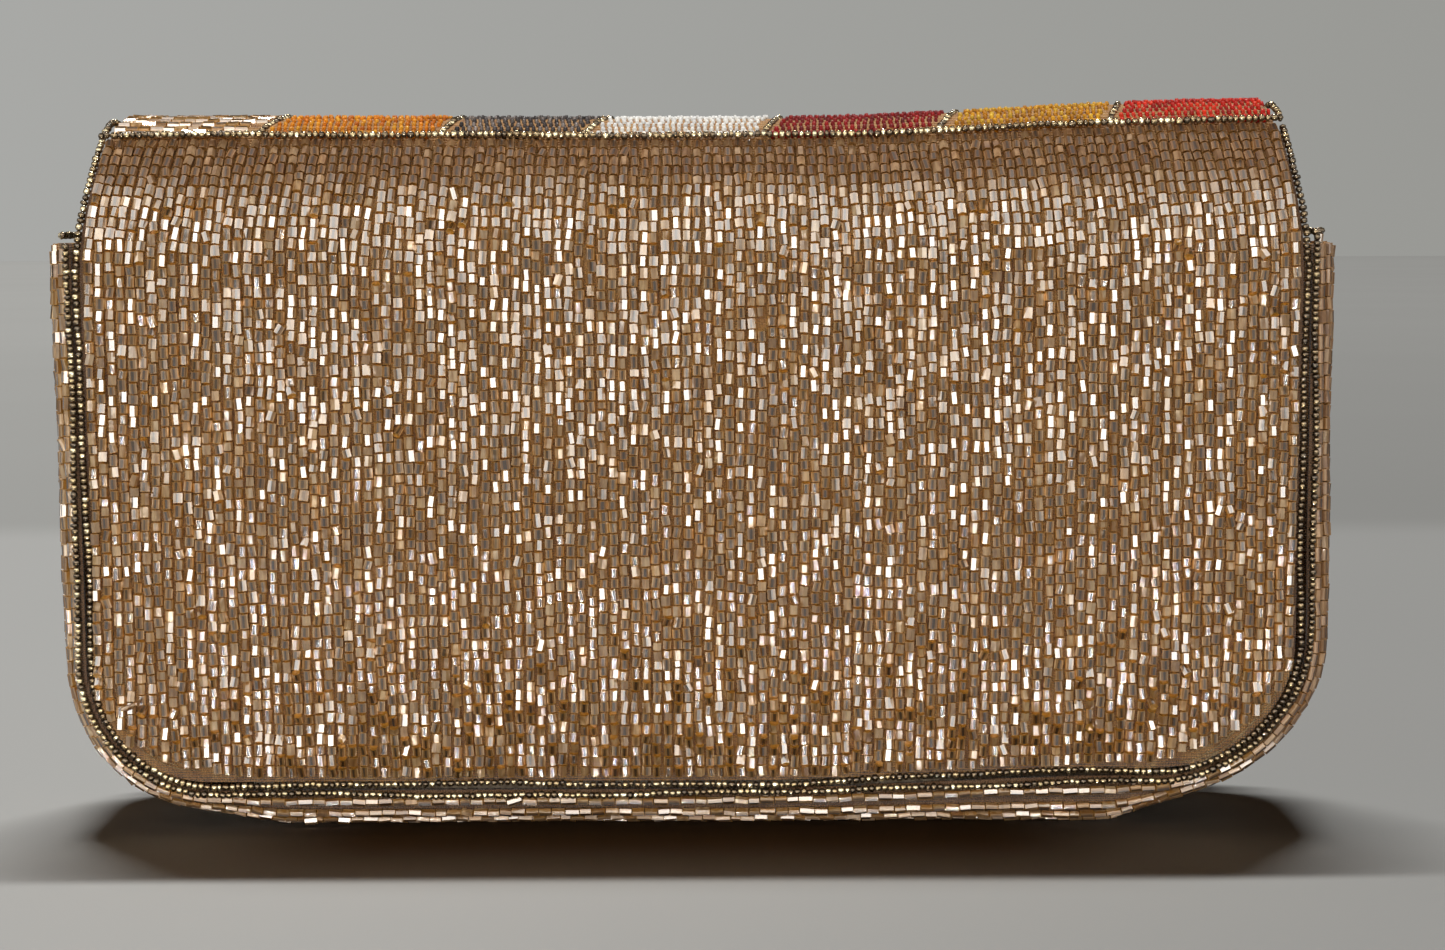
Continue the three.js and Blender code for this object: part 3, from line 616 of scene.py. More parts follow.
print("back panel beads")
backBeads = dict(habits, columns=114, pitch=2.22, radius=0.89, space=0.30, drift=0.075, radiusSpread=0.07,
                 sideSpread=0.10, wildShare=0.08, wildTip=0.17, tip=0.06, turn=0.06, topGap=0.9, cornerGap=2.6,
                 seed=11, lostBead=(13.5, 102.0))
# tubes that hang loose: two by the left corner, two under the bottom, one upright on the right ear
looseBeads = [
    dict(centre=(-111.0, -24.2, 26.4), along=(0.93, 0.0, 0.36), half=1.55, radius=0.42, tone=0.97),
    dict(centre=(-111.2, -23.4, 19.4), along=(0.12, 0.0, 1.0), half=1.15, radius=0.95, tone=0.99),
    dict(centre=(-77.0, -16.5, 1.5), along=(1.0, 0.0, 0.08), half=1.25, radius=0.80, tone=0.90),
    dict(centre=(-70.5, -16.0, 1.45), along=(1.0, 0.1, -0.10), half=1.10, radius=0.78, tone=0.55),
    dict(centre=(122.6, -16.5, 116.6), along=(0.10, 0.0, 1.0), half=1.30, radius=0.84, tone=0.93),
]


def backColumn(s, u, draw):
    x0 = u * halfWidth
    atCorner = float(smoothStep(87, 101, abs(x0)) * smoothStep(117, 110, abs(x0)))
    low = float(bottomEdge(x0)) + 0.2 + s["cornerGap"] * atCorner * (0.45 + 0.55 * draw.random())
    run = np.arange(foldRun - s["topGap"], low - mouth, -0.6)
    x = u * (halfAt(run) + 0.3) + 0.12 * np.sin(run * 0.11 + u * 37.0)
    return shell(x, run, ply + s["radius"] * 0.9)


def makeBackBeads(s):
    draw = np.random.default_rng(s["seed"])
    rows = []
    for i in range(s["columns"]):
        points, outs = backColumn(s, (i + 0.5) / s["columns"] * 2 - 1, draw)
        rows.append(tubeRow(points, outs, s, draw, 0.35 * draw.random()))
    beads = merge(rows)
    z = beads["centre"][:, 2]
    # the tubes lie still by the top, and stir in two bands below it
    upper = smoothStep(134, 122, z) * (1 - 0.5 * np.exp(-((z - 62) / 22) ** 2))
    lively = upper + 0.9 * np.exp(-((z - 22) / 14) ** 2)
    # the top band: duller glass whose colour is darkened as painted shade
    beads["matteAndShade"] = smoothStep(122, 132, z) * 0.95
    beads["tip"] = beads["tip"] * (0.35 + lively * 1.5) + 0.05 * np.exp(-((z - 22) / 16) ** 2)
    away = np.hypot(beads["centre"][:, 0] - s["lostBead"][0], z - s["lostBead"][1])
    beads = {key: np.delete(value, int(np.argmin(away)), 0) for key, value in beads.items()}
    still = dict(out=(0.0, -1.0, 0.02), tip=0.0, turn=0.0, roll=beads["roll"][0], matteAndShade=0.0)
    loose = [{key: np.array([value]) for key, value in {**still, **bead}.items()} for bead in looseBeads]
    beads = merge([beads] + loose)
    place(beadMesh("back_beads", beads, cutTube, 6, champagneGlass), "bag", "champagne_beads", "back_panel")
    print("  ", len(beads["tone"]), "beads")


makeBackBeads(backBeads)

# ---- ground cloth of the back, the arch and the flap, one piece over the fold

print("ground cloth")
shellCloth = dict(across=84, backRows=42, archRows=60, hangRows=34, couched=0.98)


def clothRuns(x, s):
    edge = (bottomEdge(x) - mouth - 0.8)[:, None]
    hem = (flapEnd - hemLift(x))[:, None]
    back = edge + (0 - edge) * np.linspace(0, 1, s["backRows"])[:-1]
    over = np.broadcast_to(np.linspace(0, archLength, s["archRows"]), (len(x), s["archRows"]))
    hang = archLength + (hem - archLength) * np.linspace(0, 1, s["hangRows"])[1:]
    return np.concatenate([back, over, hang], 1)


def makeShellCloth(s):
    u = crowded(s["across"])
    runs = clothRuns(u * halfWidth, s)
    x = u[:, None] * (halfAt(runs) + 0.9 * smoothStep(foldRun, foldRun - 2, runs))
    couched = s["couched"] * smoothStep(foldRun + 0.6, foldRun + 1.4, runs) * smoothStep(0.2, 1.2, flapHalf - np.abs(x))
    outer, _ = shell(x, runs, ply + 0.05 + couched)
    inner, _ = shell(x, runs, 0.0)
    # painted shade where the cloth turns into the side seams
    groove = smoothStep(-0.2, 0.4, np.abs(x) - halfAt(runs)) * (runs < foldRun)
    return sheetMesh("ground_cloth", outer, inner, groundCloth, groove)


clothPiece = makeShellCloth(shellCloth)
foldPoint = shell(0.0, foldRun, 0.0)[0] * mm
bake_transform(clothPiece)
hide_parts("flap_cloth")

# ---- gusset: rows of tubes round the sides and the bottom

print("gusset")
gussetForm = dict(inset=2.5, sideBulge=3.8, bottomBulge=6.5, sagHalf=80.0, sagFade=20.0, roundness=6.0,
                  fromY=-19.3, toY=13.4)
gussetBeads = dict(habits, rows=19, pitch=2.62, radius=0.80, space=0.2, lengthSpread=0.07, sideSpread=0.08,
                   liftSpread=0.06, wildShare=0.05, wildTip=0.14, seed=23, offFloor=0.32)


def gussetSurface(line, t):
    s = gussetForm
    x, z, nx, nz = line.T
    sag = (1 - smoothStep(s["sagHalf"], s["sagHalf"] + s["sagFade"], np.abs(x))) * smoothStep(0.0, -0.6, nz)
    bulge = s["sideBulge"] + (s["bottomBulge"] + rightRise(x) - s["sideBulge"]) * sag
    wave = 0.35 * np.sin(x * 0.09 + 5 * t) * np.abs(nz) + 0.3 * np.sin(z * 0.13 + 4 * t) * np.abs(nx)
    push = s["inset"] + bulge * (1 - abs(2 * t - 1) ** s["roundness"]) + wave * math.sin(math.pi * t)
    return stackUp(x + nx * push, s["fromY"] + (s["toY"] - s["fromY"]) * t, z + nz * push)


def gussetNormal(line, t):
    across = gussetSurface(line, min(1.0, t + 0.01)) - gussetSurface(line, max(0.0, t - 0.01))
    normal = unit(np.cross(across, np.gradient(gussetSurface(line, t), axis=0)))
    facing = np.sign(np.sum(normal * stackUp(line[:, 2], 0.0, line[:, 3]), -1, keepdims=True))
    return normal * np.where(facing == 0, 1, facing)


def makeGusset(s):
    draw = np.random.default_rng(s["seed"])
    line = bodySeam(0.0, ear)
    rows = []
    for j in range(s["rows"]):
        t = (j + 0.5) / s["rows"]
        outs = gussetNormal(line, t)
        points = gussetSurface(line, t) + outs * (ply + s["radius"] * 0.95)
        points[:, 2] = np.maximum(points[:, 2], s["radius"] + s["offFloor"])
        rows.append(tubeRow(points, outs, s, draw, draw.random() * s["pitch"] * 0.6))
    beads = merge(rows)
    x, z = beads["centre"][:, 0], beads["centre"][:, 2]
    # painted shade: the right side of the gusset is darker and duller; the bottom rows are also duller and darker
    beads["matteAndShade"] = np.maximum(0.85 * smoothStep(100, 119, x), 0.42 * smoothStep(16, 8, z))
    place(beadMesh("gusset_beads", beads, cutTube, 6, champagneGlass), "bag", "champagne_beads", "gusset")
    print("  ", len(beads["tone"]), "beads")
    coarse = line[::4]
    ts = np.linspace(0, 1, 23)
    outer = np.stack([gussetSurface(coarse, t) + gussetNormal(coarse, t) * (ply + 0.05) for t in ts], 0)
    inner = np.stack([gussetSurface(coarse, t) for t in ts], 0)
    outer[..., 2] = np.maximum(outer[..., 2], 0.5)
    inner[..., 2] = np.maximum(inner[..., 2], 1.2)
    # painted shade on the cloth's edges where they run into the seams
    groove = 0.9 * smoothStep(0.10, 0.04, np.minimum(ts, 1 - ts))[:, None]
    cloth = sheetMesh("gusset_cloth", outer[:, ::-1], inner[:, ::-1], groundCloth, groove)
    place(cloth, "bag", "ground_cloth")


makeGusset(gussetBeads)

# ---- strings of seed beads on the seams

print("seed strings")
seedString = dict(habits, pitch=1.24, radius=0.72, space=0.05, lengthSpread=0.10, radiusSpread=0.07,
                  sideSpread=0.06, liftSpread=0.07, wildTip=0.25, turn=0.05, overrun=0.1,
                  # the bag's seed strings grow darker towards the right side as painted shade
                  rightPaintedShade=0.55, paintedShadeFrom=99, paintedShadeFull=115)
toBack, toFront = (0.0, -1.0, 0.0), (0.0, 1.0, 0.0)


def stringOfSeeds(name, points, outs, seed, body, node, s=seedString):
    outs = np.broadcast_to(outs, points.shape)
    row = tubeRow(points, outs, s, np.random.default_rng(seed))
    # painted shade: the seeds grow darker towards the right side of the bag
    if body == "bag":
        paintedShadeShare = s["rightPaintedShade"] * smoothStep(s["paintedShadeFrom"], s["paintedShadeFull"], row["centre"][:, 0])
        row["tone"] = row["tone"] * (1 - paintedShadeShare)
    place(beadMesh(name, row, seedRound, 6, seamSeeds, smooth=True), body, "seed_beads", node)


def seamPoints(inset, top, y, wobble, phase):
    line = bodySeam(inset, top)
    i = np.arange(len(line))
    sway = wobble * (np.sin(i * 0.031 + phase) + 0.6 * np.sin(i * 0.083 + 2 * phase))
    return stackUp(line[:, 0] + line[:, 2] * sway, y, line[:, 1] + line[:, 3] * sway)


def gussetRim():
    backPoints = seamPoints(3.5, ear, form["backSeam"] - seamOut, 0.28, 3.1)
    frontPoints = seamPoints(3.4, ear, form["frontSeam"] + seamOut, 0.12, 5.2)
    top = bodySeam(0.0, ear)
    overs = []
    for end in (top[-1:], top[:1]):
        outward = np.array([end[0, 2], 0.0, end[0, 3]])
        over = np.concatenate([gussetSurface(end, t) + outward * (ply - 1.6 * (1 - abs(2 * t - 1) ** 3))
                               for t in np.linspace(0.0, 1.0, 60)])
        over[:, 2] = ear + 1.5
        overs.append(over)
    return np.concatenate([backPoints, overs[0], frontPoints[::-1], overs[1][::-1]])


def makeSeams():
    points = seamPoints(1.4, mouth, form["backSeam"] - seamOut, 0.26, 0.7)
    run = np.arange(0.5, foldRun + 0.5, 0.5)
    left, right = (shell(side * (halfAt(run) + 1.5), run, seamOut)[0] for side in (-1, 1))
    path = np.concatenate([left[::-1], points, right])
    stringOfSeeds("back_seam_seeds", path, toBack, 31, "bag", "back_edging")
    rim = gussetRim()
    onTop = np.abs(rim[:, 2:3] - ear - 1.5) < 0.3
    outs = np.where(onTop, (0.0, 0.0, 1.0), np.sign(rim[:, 1:2] + 3) * np.array(toFront))
    stringOfSeeds("gusset_seam_seeds", rim, outs, 32, "bag", "gusset_edging")
    y, z = form["frontSeam"] + seamOut, mouth + 1.5
    top = stackUp(np.arange(halfWidth + 1.5, -halfWidth - 1.5, -0.5), y, z)
    path = np.concatenate([seamPoints(1.5, z, y, 0.12, 1.9), top])
    stringOfSeeds("front_seam_seeds", path, toFront, 33, "bag", "front_edging")
    x = np.arange(-flapHalf - 1.7, flapHalf + 1.7, 0.5)
    fold, outs = shell(x, np.full(len(x), foldRun - 0.9), ply + plies["beads"] + 0.9)
    fold[:, 2] += 0.12 * np.sin(x * 0.12)
    stringOfSeeds("fold_seeds", fold, outs, 34, "bag", "fold_edging")


makeSeams()

# ---- front of the body, under the flap

print("front of the body")
frontBeads = dict(habits, columns=112, pitch=2.4, radius=0.79, space=0.22, radiusSpread=0.05, wildTip=0.12,
                  seed=41)
snap = dict(x=0.0, z=42.0, radius=8.0, hole=4.2, stud=3.5, socket=2.7, well=1.4, flange=1.0, post=1.3)


def fromSnap(x, z):
    return np.hypot(x - snap["x"], z - snap["z"])


def clearOfSnap(at):
    return fromSnap(at[:, 0], at[:, 2]) > snap["radius"] + 1.4


def makeFront(s):
    draw = np.random.default_rng(s["seed"])
    drift, rows = 0.0, []
    for i in range(s["columns"]):
        u = (i + 0.5) / s["columns"] * 2 - 1
        drift = 0.86 * drift + draw.normal(0, 0.3)
        z = np.arange(mouth - 0.4, float(bottomEdge(u * halfWidth)) + 0.5, -0.6)
        points, outs = front(u * halfAt(z - mouth), z, ply + s["radius"] * 0.93)
        rows.append(tubeRow(points, outs, s, draw, (drift % 1.0) * s["pitch"] * 0.5, clearOfSnap))
    beads = beadMesh("front_beads", merge(rows), cutTube, 5, champagneGlass)
    place(beads, "bag", "champagne_beads", "front_panel")
    u = crowded(85)
    edge = bottomEdge(u * halfWidth)[:, None]
    z = edge + (mouth - edge) * np.linspace(0, 1, 64)
    x = u[:, None] * halfAt(z - mouth)
    near = smoothStep(snap["radius"] + 1.2, snap["radius"] + 0.2, fromSnap(x, z))
    outer, _ = front(x, z, ply + 0.05 - 0.79 * near)
    inner, _ = front(x, z, 0.0 * x)
    place(sheetMesh("front_cloth", outer[::-1], inner[::-1], groundCloth), "bag", "ground_cloth")


makeFront(frontBeads)

# ---- flap: rows of seed beads in fields of colour, with a string of metal seeds between fields

print("flap")
flapBeads = dict(habits, pitch=1.27, rowPitch=1.70, radius=0.84, space=0.03, lengthSpread=0.08,
                 sideSpread=0.05, wildShare=0.02, turn=0.05, overrun=0.1)
flapTubes = dict(flapBeads, pitch=2.4, radius=0.83, space=0.16, lengthSpread=0.05)
flapWaves = dict(height=5.5, length=62.0, places=(-0.75, -0.435, -0.19, 0.12, 0.42, 0.715))
flapSeedLook = dict(metal=0.0, rough=0.42, coat=0.06, specular=0.16, thread=(0.12, 0.07, 0.035),
                    patchy=(0.62, 0.58, 0.5))
# the dark, middle and light tone of each field, and what differs from the look above; blush has tubes
fields = {
    "blush": (None, {}),
    "orange": (((0.62, 0.16, 0.004), (0.82, 0.29, 0.008), (0.92, 0.44, 0.03)), {}),
    "slate": (((0.020, 0.017, 0.020), (0.065, 0.055, 0.058), (0.20, 0.17, 0.165)), dict(metal=0.45)),
    "white": (((0.78, 0.78, 0.77), (0.90, 0.90, 0.89), (0.97, 0.97, 0.96)),
              dict(thread=(0.55, 0.52, 0.48), patchy=(0.9, 0.9, 0.9))),
    "crimson": (((0.16, 0.003, 0.006), (0.27, 0.004, 0.006), (0.42, 0.012, 0.012)), {}),
    "amber": (((0.50, 0.20, 0.010), (0.76, 0.37, 0.02), (0.86, 0.55, 0.06)), {}),
    "scarlet": (((0.42, 0.010, 0.006), (0.66, 0.014, 0.006), (0.80, 0.05, 0.015)), {}),
}


def fieldEdge(i, run):
    if i < 0 or i >= len(flapWaves["places"]):
        return np.full(np.shape(run), (flapHalf - 0.2) * (-1 if i < 0 else 1))
    wave = flapWaves["height"] * np.sin(2 * math.pi * (run - foldRun - 0.1) / flapWaves["length"])
    return flapWaves["places"][i] * flapHalf + wave * (0.75 if i % 2 else 1.0)


def flapField(i, name, tones, other):
    s = flapBeads if tones else flapTubes
    draw = np.random.default_rng(50 + i)
    rows = []
    begin = foldRun + 0.1
    pitch = (archLength - begin) / round((archLength - begin) / s["rowPitch"])
    for run in np.arange(begin + pitch / 2, flapEnd - 0.9, pitch):
        left = float(fieldEdge(i - 1, run)) + (0.0 if i == 0 else 0.95)
        right = float(fieldEdge(i, run)) - (0.0 if i == len(flapWaves["places"]) else 0.95)
        x = np.arange(left, right, 0.5)
        x = x[flapEnd - hemLift(x) - run > 0.9]
        if len(x) < 4:
            continue
        points, outs = shell(x, np.full(len(x), run), ply + 0.88)
        rows.append(tubeRow(points, outs, s, draw, draw.random() * s["pitch"]))
    beads = merge(rows)
    if not tones:
        return beadMesh("flap_beads_" + name, beads, cutTube, 6, champagneGlass)
    look = dict({**flapSeedLook, **other}, tones=list(zip((0.0, 0.5, 1.0), tones)))
    return beadMesh("flap_beads_" + name, beads, chipRound, 6, seedGlass(name + " seed glass", look), smooth=True)


def makeFlapBeads():
    for i, (name, (tones, other)) in enumerate(fields.items()):
        place(flapField(i, name, tones, other), "flap", name + "_beads", "flap_field_" + name)
    for i, share in enumerate(flapWaves["places"]):
        runs = np.arange(foldRun + 0.7, float(flapEnd - hemLift(share * flapHalf)) - 0.9, 0.5)
        points, outs = shell(fieldEdge(i, runs), runs, ply + 0.2 + 0.85)
        stringOfSeeds("field_seeds_%d" % (i + 1), points, outs, 60 + i, "flap", "field_outline_%d" % (i + 1))
    run = np.arange(foldRun + 0.6, archLength, 0.5)
    left, right = (shell(np.full(len(run), side * (flapHalf + 1.5)), run, seamOut)[0] for side in (-1, 1))
    hem = seamLine(1.5, mouth, flapHalf, form["hem"], form["hemCorner"], form["hemCorner"])
    hem = stackUp(hem[:, 0], form["flapFace"] + seamOut, hem[:, 1])
    over = shell(-flapHalf, run, 0.0)[1]
    outs = np.concatenate([over, np.broadcast_to(toFront, hem.shape), over[::-1]])
    path = np.concatenate([left, hem, right[::-1]])
    stringOfSeeds("flap_rim_seeds", path, outs, 70, "flap", "flap_edging")


makeFlapBeads()

# ---- cards that hold the panels flat, and the satin inside

print("cards and lining")


def boardMaterial(name):
    g = newShader(name)
    fibre = g.noise(700.0, 4.0, (1.0, 1.0, 0.4))
    colour = g.ramp(fibre, (0.3, (0.20, 0.15, 0.10)), (0.6, (0.34, 0.27, 0.19)), (0.8, (0.45, 0.38, 0.28)))
    specks = g.ramp(g.noise(90.0, 3.0), (0.35, (0.75, 0.72, 0.68)), (0.65, (1.1, 1.08, 1.05)))
    return g.surface({"Base Color": g.times(colour, specks, 0.5), "Roughness": 0.85,
                      "Normal": g.bump(fibre, 0.4, 0.0004)})


def satinMaterial(name, dark, light):
    g = newShader(name)
    weave = g.wave("DIAGONAL", 900.0, 2.0)
    colour = g.times(g.ramp(g.noise(30.0, 3.0), (0.3, dark), (0.7, light)),
                     g.ramp(weave, (0.0, (0.7, 0.68, 0.64)), (1.0, 1)), 0.25)
    return g.surface({"Base Color": colour, "Roughness": 0.38, "Sheen Weight": 0.3, "Anisotropic": 0.5,
                      "Normal": g.bump(weave, 0.25, 0.0002)})


cardBoard = boardMaterial("grey brown card")
satin = satinMaterial("pale gold satin", (0.42, 0.31, 0.20), (0.56, 0.44, 0.31))
satinRibbon = satinMaterial("pale gold ribbon", (0.36, 0.26, 0.16), (0.50, 0.38, 0.26))


# a ply behind the outer cloth, from one run to another
def shellPly(name, low, high, inner, outer, inset, material, across, down, ripple=0.0):
    u = crowded(across)
    begin, end = (limit(u) if callable(limit) else np.full(len(u), limit) for limit in (low, high))
    run = begin[:, None] + (end - begin)[:, None] * np.linspace(0, 1, down)
    x = u[:, None] * (halfAt(run) - inset)
    wave = ripple * (np.sin(x * 0.21 + run * 0.05) * np.sin(run * 0.13 + 1.2) - 1)
    return sheetMesh(name, shell(x, run, outer)[0], shell(x, run, inner + wave)[0], material)


def makeCards():
    gap, card = plies["gap"], plies["gap"] + plies["card"]
    flapCard = gap + plies["flapCard"]

    def nearBottom(u):
        return bottomEdge(u * halfWidth) - mouth + 2.0

    def hem(inset):
        return lambda u: flapEnd - inset - hemLift(u * (flapHalf - inset))

    backEnd, flapStart = foldRun - 0.4, foldRun + 0.5
    place(shellPly("back_card", nearBottom, backEnd, -card, -gap, 2.0, cardBoard, 40, 50),
          "bag", "stiffener_board", "back_stiffener")
    place(shellPly("back_satin", 0.4, backEnd, -card - gap - plies["lining"], -card - gap, 2.0, satin, 90, 26, 0.25),
          "bag", "satin", "back_facing")
    place(shellPly("flap_card", flapStart, hem(2.0), -flapCard, -gap, 2.0, cardBoard, 40, 50),
          "flap", "stiffener_board", "flap_stiffener")
    place(shellPly("flap_satin", flapStart, hem(1.0), -2.2, -1.4, 1.0, satin, 70, 74, 0.12),
          "flap", "satin", "flap_lining")


def outlineHalf(z, inset):
    radius = form["leftCorner"] - inset
    rise = np.clip(form["bottom"] + inset + radius - z, 0, radius)
    return halfWidth - inset - radius + np.sqrt(np.maximum(radius ** 2 - rise ** 2, 0))


# level loops round the sewn bag, from the mouth down to a flat bottom
def sackLoops(grow, ripple, inset=1.0, wall=1.6, half=71):
    low = form["bottom"] + inset + grow
    loops = []
    for z in low + (mouth - low) * np.linspace(1, 0, 46) ** 1.4:
        x = crowded(half) * float(outlineHalf(z, inset + grow))
        fade = math.sin(math.pi * min(1.0, (mouth - z) / (mouth - low))) ** 0.5
        fold = ripple * fade * (1 + np.sin(x * 0.16 + z * 0.05) * np.cos(z * 0.11 + x * 0.03))
        near = stackUp(x, form["backSeam"] + wall + grow + fold, z)
        far = stackUp(x[::-1], form["frontSeam"] - wall - grow - fold[::-1], z)
        loops.append(np.concatenate([near, far]))
    return np.stack(loops)


def makeLiningBag():
    outer, inner = sackLoops(0.0, 0.0), sackLoops(plies["lining"], 0.3)
    rows, around = outer.shape[:2]
    shift, last = rows * around, (rows - 1) * around
    faces = []

    def addBoth(a, b, c, d):
        faces.extend([(a, d, c, b), (a + shift, b + shift, c + shift, d + shift)])

    for quad in ringFaces(rows, around):
        addBoth(*quad)
    for k in range(around):
        n = (k + 1) % around
        faces.append((k, n, n + shift, k + shift))
    for k in range(around // 2 - 1):
        addBoth(last + k, last + k + 1, last + around - 2 - k, last + around - 1 - k)
    verts = np.concatenate([outer.reshape(-1, 3), inner.reshape(-1, 3)])
    return meshPiece("lining_sack", verts, faces, satin)


pocketForm = dict(half=55.0, low=27.0, high=68.0, belly=4.0, fromWall=0.35)


def makePocket(s):
    wall = form["backSeam"] + 1.6 + plies["lining"] + s["fromWall"]
    u, v = np.meshgrid(np.linspace(-1, 1, 61), np.linspace(0, 1, 41))
    full = (1 - np.abs(u) ** 5) * (1 - (1 - v) ** 4)
    x, z = u * s["half"], s["low"] + s["high"] * v
    y = wall + 0.6 + s["belly"] * full * (0.35 + 0.65 * v) + 0.25 * np.sin(x * 0.15) * full
    return sheetMesh("pocket_satin", stackUp(x, y + 0.4, z), stackUp(x, y - 0.3, z), satin)


makeCards()
place(makeLiningBag(), "bag", "satin", "lining_bag")
place(makePocket(pocketForm), "bag", "satin", "slip_pocket")

# ---- ribbon tabs, strap rings and the snap

print("tabs, rings and snap")


def nickelMaterial(name):
    g = newShader(name)
    wear = g.noise(60.0, 4.0)
    scratch = g.noise(800.0, 2.0, (1.0, 0.1, 1.0))
    return g.surface({"Base Color": g.ramp(wear, (0.3, (0.60, 0.58, 0.55)), (0.7, (0.74, 0.73, 0.70))),
                      "Metallic": 1.0, "Roughness": g.ramp(wear, (0.3, 0.16), (0.7, 0.30)),
                      "Normal": g.bump(scratch, 0.15, 0.0002)})


nickel = nickelMaterial("nickel plate")
ringForm = dict(x=113.4, y=-2.5, pin=94.6, half=9.0, leg=4.0, corner=1.6, wire=1.1, wall=115.5, top=108.0,
                eye=2.05, width=12.0, ply=0.42, apart=1.05)


def circle(count):
    return [2 * math.pi * k / count for k in range(count)]


def tubeMesh(name, points, radius, material, sides=14):
    ahead = unit(np.roll(points, -1, 0) - np.roll(points, 1, 0))
    across = np.tile((1.0, 0.0, 0.0), (len(points), 1))
    up = unit(np.cross(ahead, across))
    verts = [points + radius * (across * math.cos(a) + up * math.sin(a)) for a in circle(sides)]
    return meshPiece(name, np.stack(verts, 1).reshape(-1, 3), ringFaces(len(points), sides, True), material)


def arc(x, z, radius, begin, end, count):
    return [(x + radius * math.cos(a), z + radius * math.sin(a)) for a in np.linspace(begin, end, count)]


def ringPoints(s, side):
    half, corner, quarter = s["half"], s["corner"], math.pi / 2
    points = [(y, 0.0) for y in np.linspace(-half + corner, half - corner, 18)]
    points += arc(half - corner, -corner, corner, quarter, 0, 7)[1:]
    points += arc(0.0, -s["leg"], half, 0, -math.pi, 41)
    points += arc(-half + corner, -corner, corner, math.pi, quarter, 7)[:-1]
    return np.array([(side * s["x"], s["y"] + y, s["pin"] + z) for y, z in points])


# down the wall, round the ring's pin and up again behind itself
def ribbonPath(s):
    wall, back = s["wall"], s["wall"] - s["apart"]
    path = [(wall, z) for z in np.linspace(s["top"], s["pin"] + 0.6, 14)]
    path += arc(s["x"], s["pin"], s["eye"], 0.12, -math.pi - 0.35, 22)[1:]
    x, z = path[-1]
    path += [(x + (back - x) * float(smoothStep(0, 1, t)), z + 4.2 * t) for t in np.linspace(0, 1, 9)[1:]]
    path += [(back, up) for up in np.linspace(z + 5, s["top"] - 0.3, 10)]
    return np.array(path)


def makeTab(s, side, name):
    path = ribbonPath(s)
    ahead = unit(np.gradient(path, axis=0))
    normal = stackUp(-ahead[:, 1], ahead[:, 0])
    grids = []
    for lift in (s["ply"], -s["ply"]):
        line = path + normal * lift
        across = np.linspace(-0.5, 0.5, 9)[:, None] * s["width"]
        grids.append(stackUp(side * line[:, 0], s["y"] + across, line[:, 1])[::-side])
    return sheetMesh(name, *grids, satinRibbon)


# a turned disc from its profile of radius and depth along Y
def turned(name, profile, y, material, sides=48):
    verts = [(snap["x"] + radius * math.cos(a), y + depth, snap["z"] + radius * math.sin(a))
             for radius, depth in profile for a in circle(sides)]
    last = len(verts) - sides
    caps = [tuple(range(sides - 1, -1, -1)), tuple(range(last, last + sides))]
    return meshPiece(name, verts, ringFaces(len(profile), sides) + caps, material)


def makeHardware(s):
    for word, side in (("left", -1), ("right", 1)):
        ring = tubeMesh("d_ring_" + word, ringPoints(s, side), s["wire"], nickel)
        place(ring, "ring_" + word, "nickel_plate", "strap_ring_" + word)
        place(makeTab(s, side, "ribbon_" + word), "bag", "satin", "ring_tab_" + word)
    base = form["frontSeam"] + float(swell(0.0, snap["z"], form["frontBelly"], False)) + plies["gap"] / 2
    r, hole, high, well = snap["radius"], snap["hole"], snap["socket"], snap["well"]
    socket = [(r - 0.3, 0), (r, 0.3), (r, high - 0.9), (r - 0.3, high - 0.35), (r - 0.9, high - 0.08),
              (r - 1.3, high), (hole + 0.5, high), (hole + 0.1, high - 0.12), (hole, high - 0.5),
              (hole, high - well), (0.8, high - well)]
    place(turned("socket_disc", socket, base, nickel), "bag", "nickel_plate", "snap_socket")
    back = form["flapFace"] - 2.2 - plies["gap"] / 2
    flange, stud = -snap["flange"], snap["stud"]
    post = flange - snap["post"]
    profile = [(0.8, post), (stud - 0.4, post), (stud, post + 0.35), (stud, flange - 0.1), (stud + 0.25, flange),
               (r - 0.7, flange), (r - 0.2, flange + 0.2), (r, flange + 0.5), (r, -0.1), (r - 0.1, 0)]
    place(turned("stud_disc", profile, back, nickel), "flap", "nickel_plate", "snap_stud")


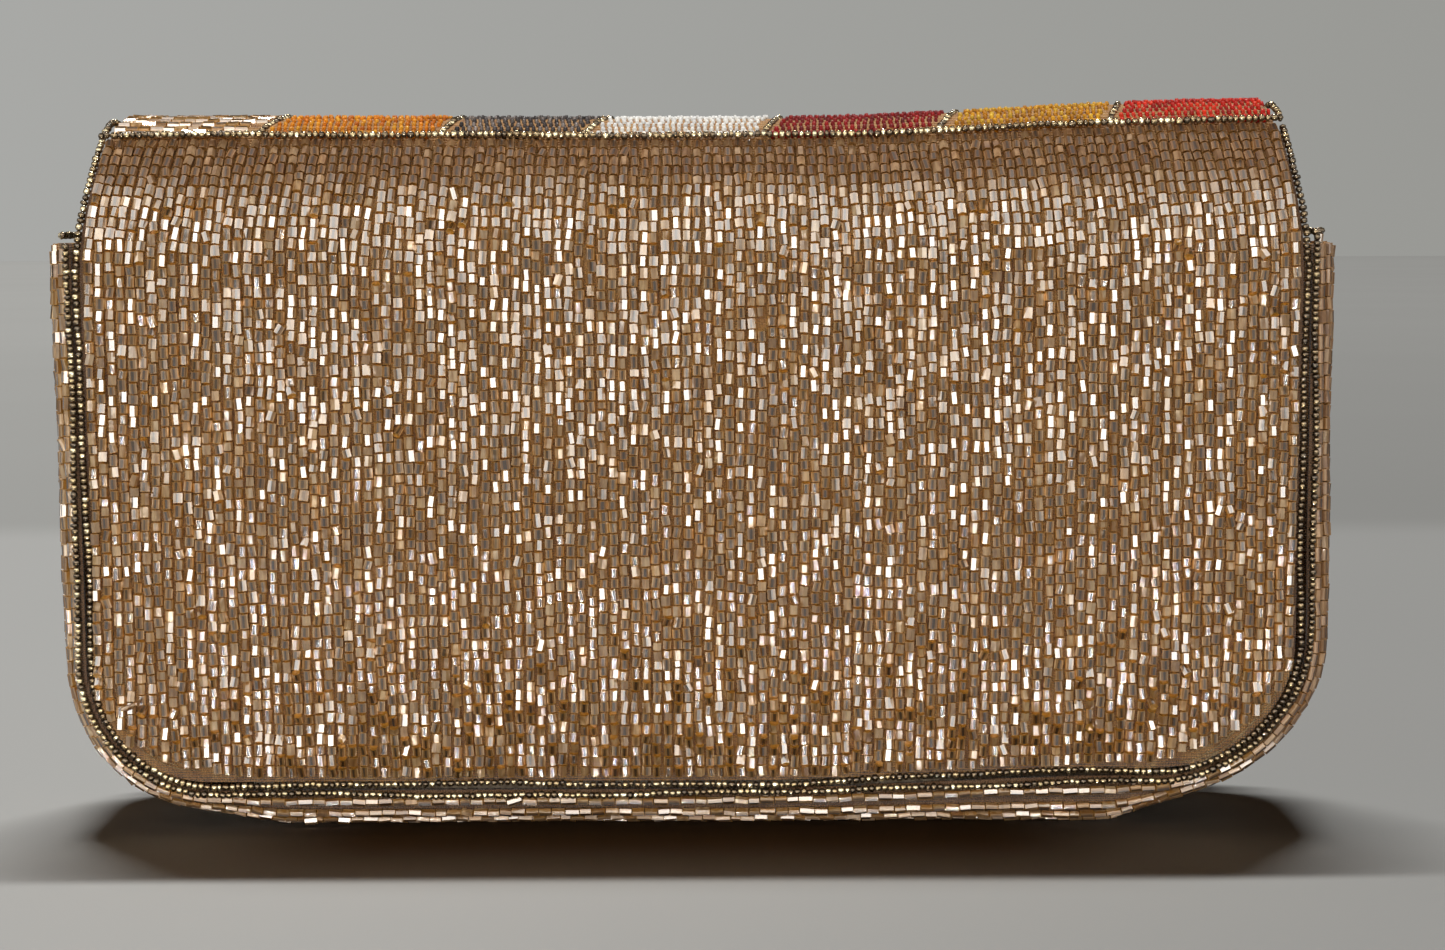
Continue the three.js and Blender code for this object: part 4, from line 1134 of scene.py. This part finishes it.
makeHardware(ringForm)
keptNodes = dict(front_stiffener=cardBoard, bottom_board=cardBoard, snap_socket_washer=nickel,
                 snap_stud_washer=nickel)
for kept in scene.objects:
    if kept.type == "MESH" and kept.name.split(".")[0] in keptNodes:
        for slot in kept.material_slots:
            slot.material = keptNodes[kept.name.split(".")[0]]

# ---- loose couching threads on the bare cloth at the two lower corners

cornerThreads = dict(strands=7, reach=(1.2, 5.6), radius=0.13, sway=0.45, seed=91)


def makeCornerThreads(s):
    draw = np.random.default_rng(s["seed"])
    verts, faces = [], []
    for side, radius in ((-1, form["leftCorner"]), (1, form["rightCorner"])):
        for inset in np.linspace(*s["reach"], s["strands"]):
            a = np.linspace(0.12 + 0.25 * draw.random(), math.pi / 2 + 0.35 * draw.random(), 40)
            bend = inset + s["sway"] * np.sin(a * (3 + 3 * draw.random()) + 6 * draw.random())
            turn = np.minimum(a, 1.6)
            x = side * (halfWidth - radius + (radius - bend) * np.sin(turn) - 14 * np.maximum(0, 0.3 - a))
            z = form["bottom"] + radius - (radius - bend) * np.cos(turn) + 18 * np.maximum(0, a - 1.6)
            path, outs = shell(x, z - mouth, ply + 0.16 + 0.12 * draw.random())
            across = unit(np.cross(unit(np.gradient(path, axis=0)), outs))
            base = sum(len(v) for v in verts)
            ring = [path + s["radius"] * (across * math.cos(b) + outs * math.sin(b)) for b in circle(6)]
            verts.append(np.stack(ring, 1).reshape(-1, 3))
            caps = [tuple(range(5, -1, -1)), tuple(range(6 * len(a) - 6, 6 * len(a)))]
            faces += [tuple(base + corner for corner in face) for face in ringFaces(len(a), 6) + caps]
    return meshPiece("corner_threads", np.concatenate(verts), faces, wovenCloth("pale couching thread", threadLook))


place(makeCornerThreads(cornerThreads), "bag", "ground_cloth")

# ---- the soft boxes light the bag alone, so the shadow on the paper stays deep

receivers = bpy.data.collections.new("bag_pieces")
for o in scene.objects:
    if o.type == "MESH" and "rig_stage" not in o:
        receivers.objects.link(o)
for lampObject in boxLamps:
    lampObject.light_linking.receiver_collection = receivers
    lampObject.light_linking.blocker_collection = receivers
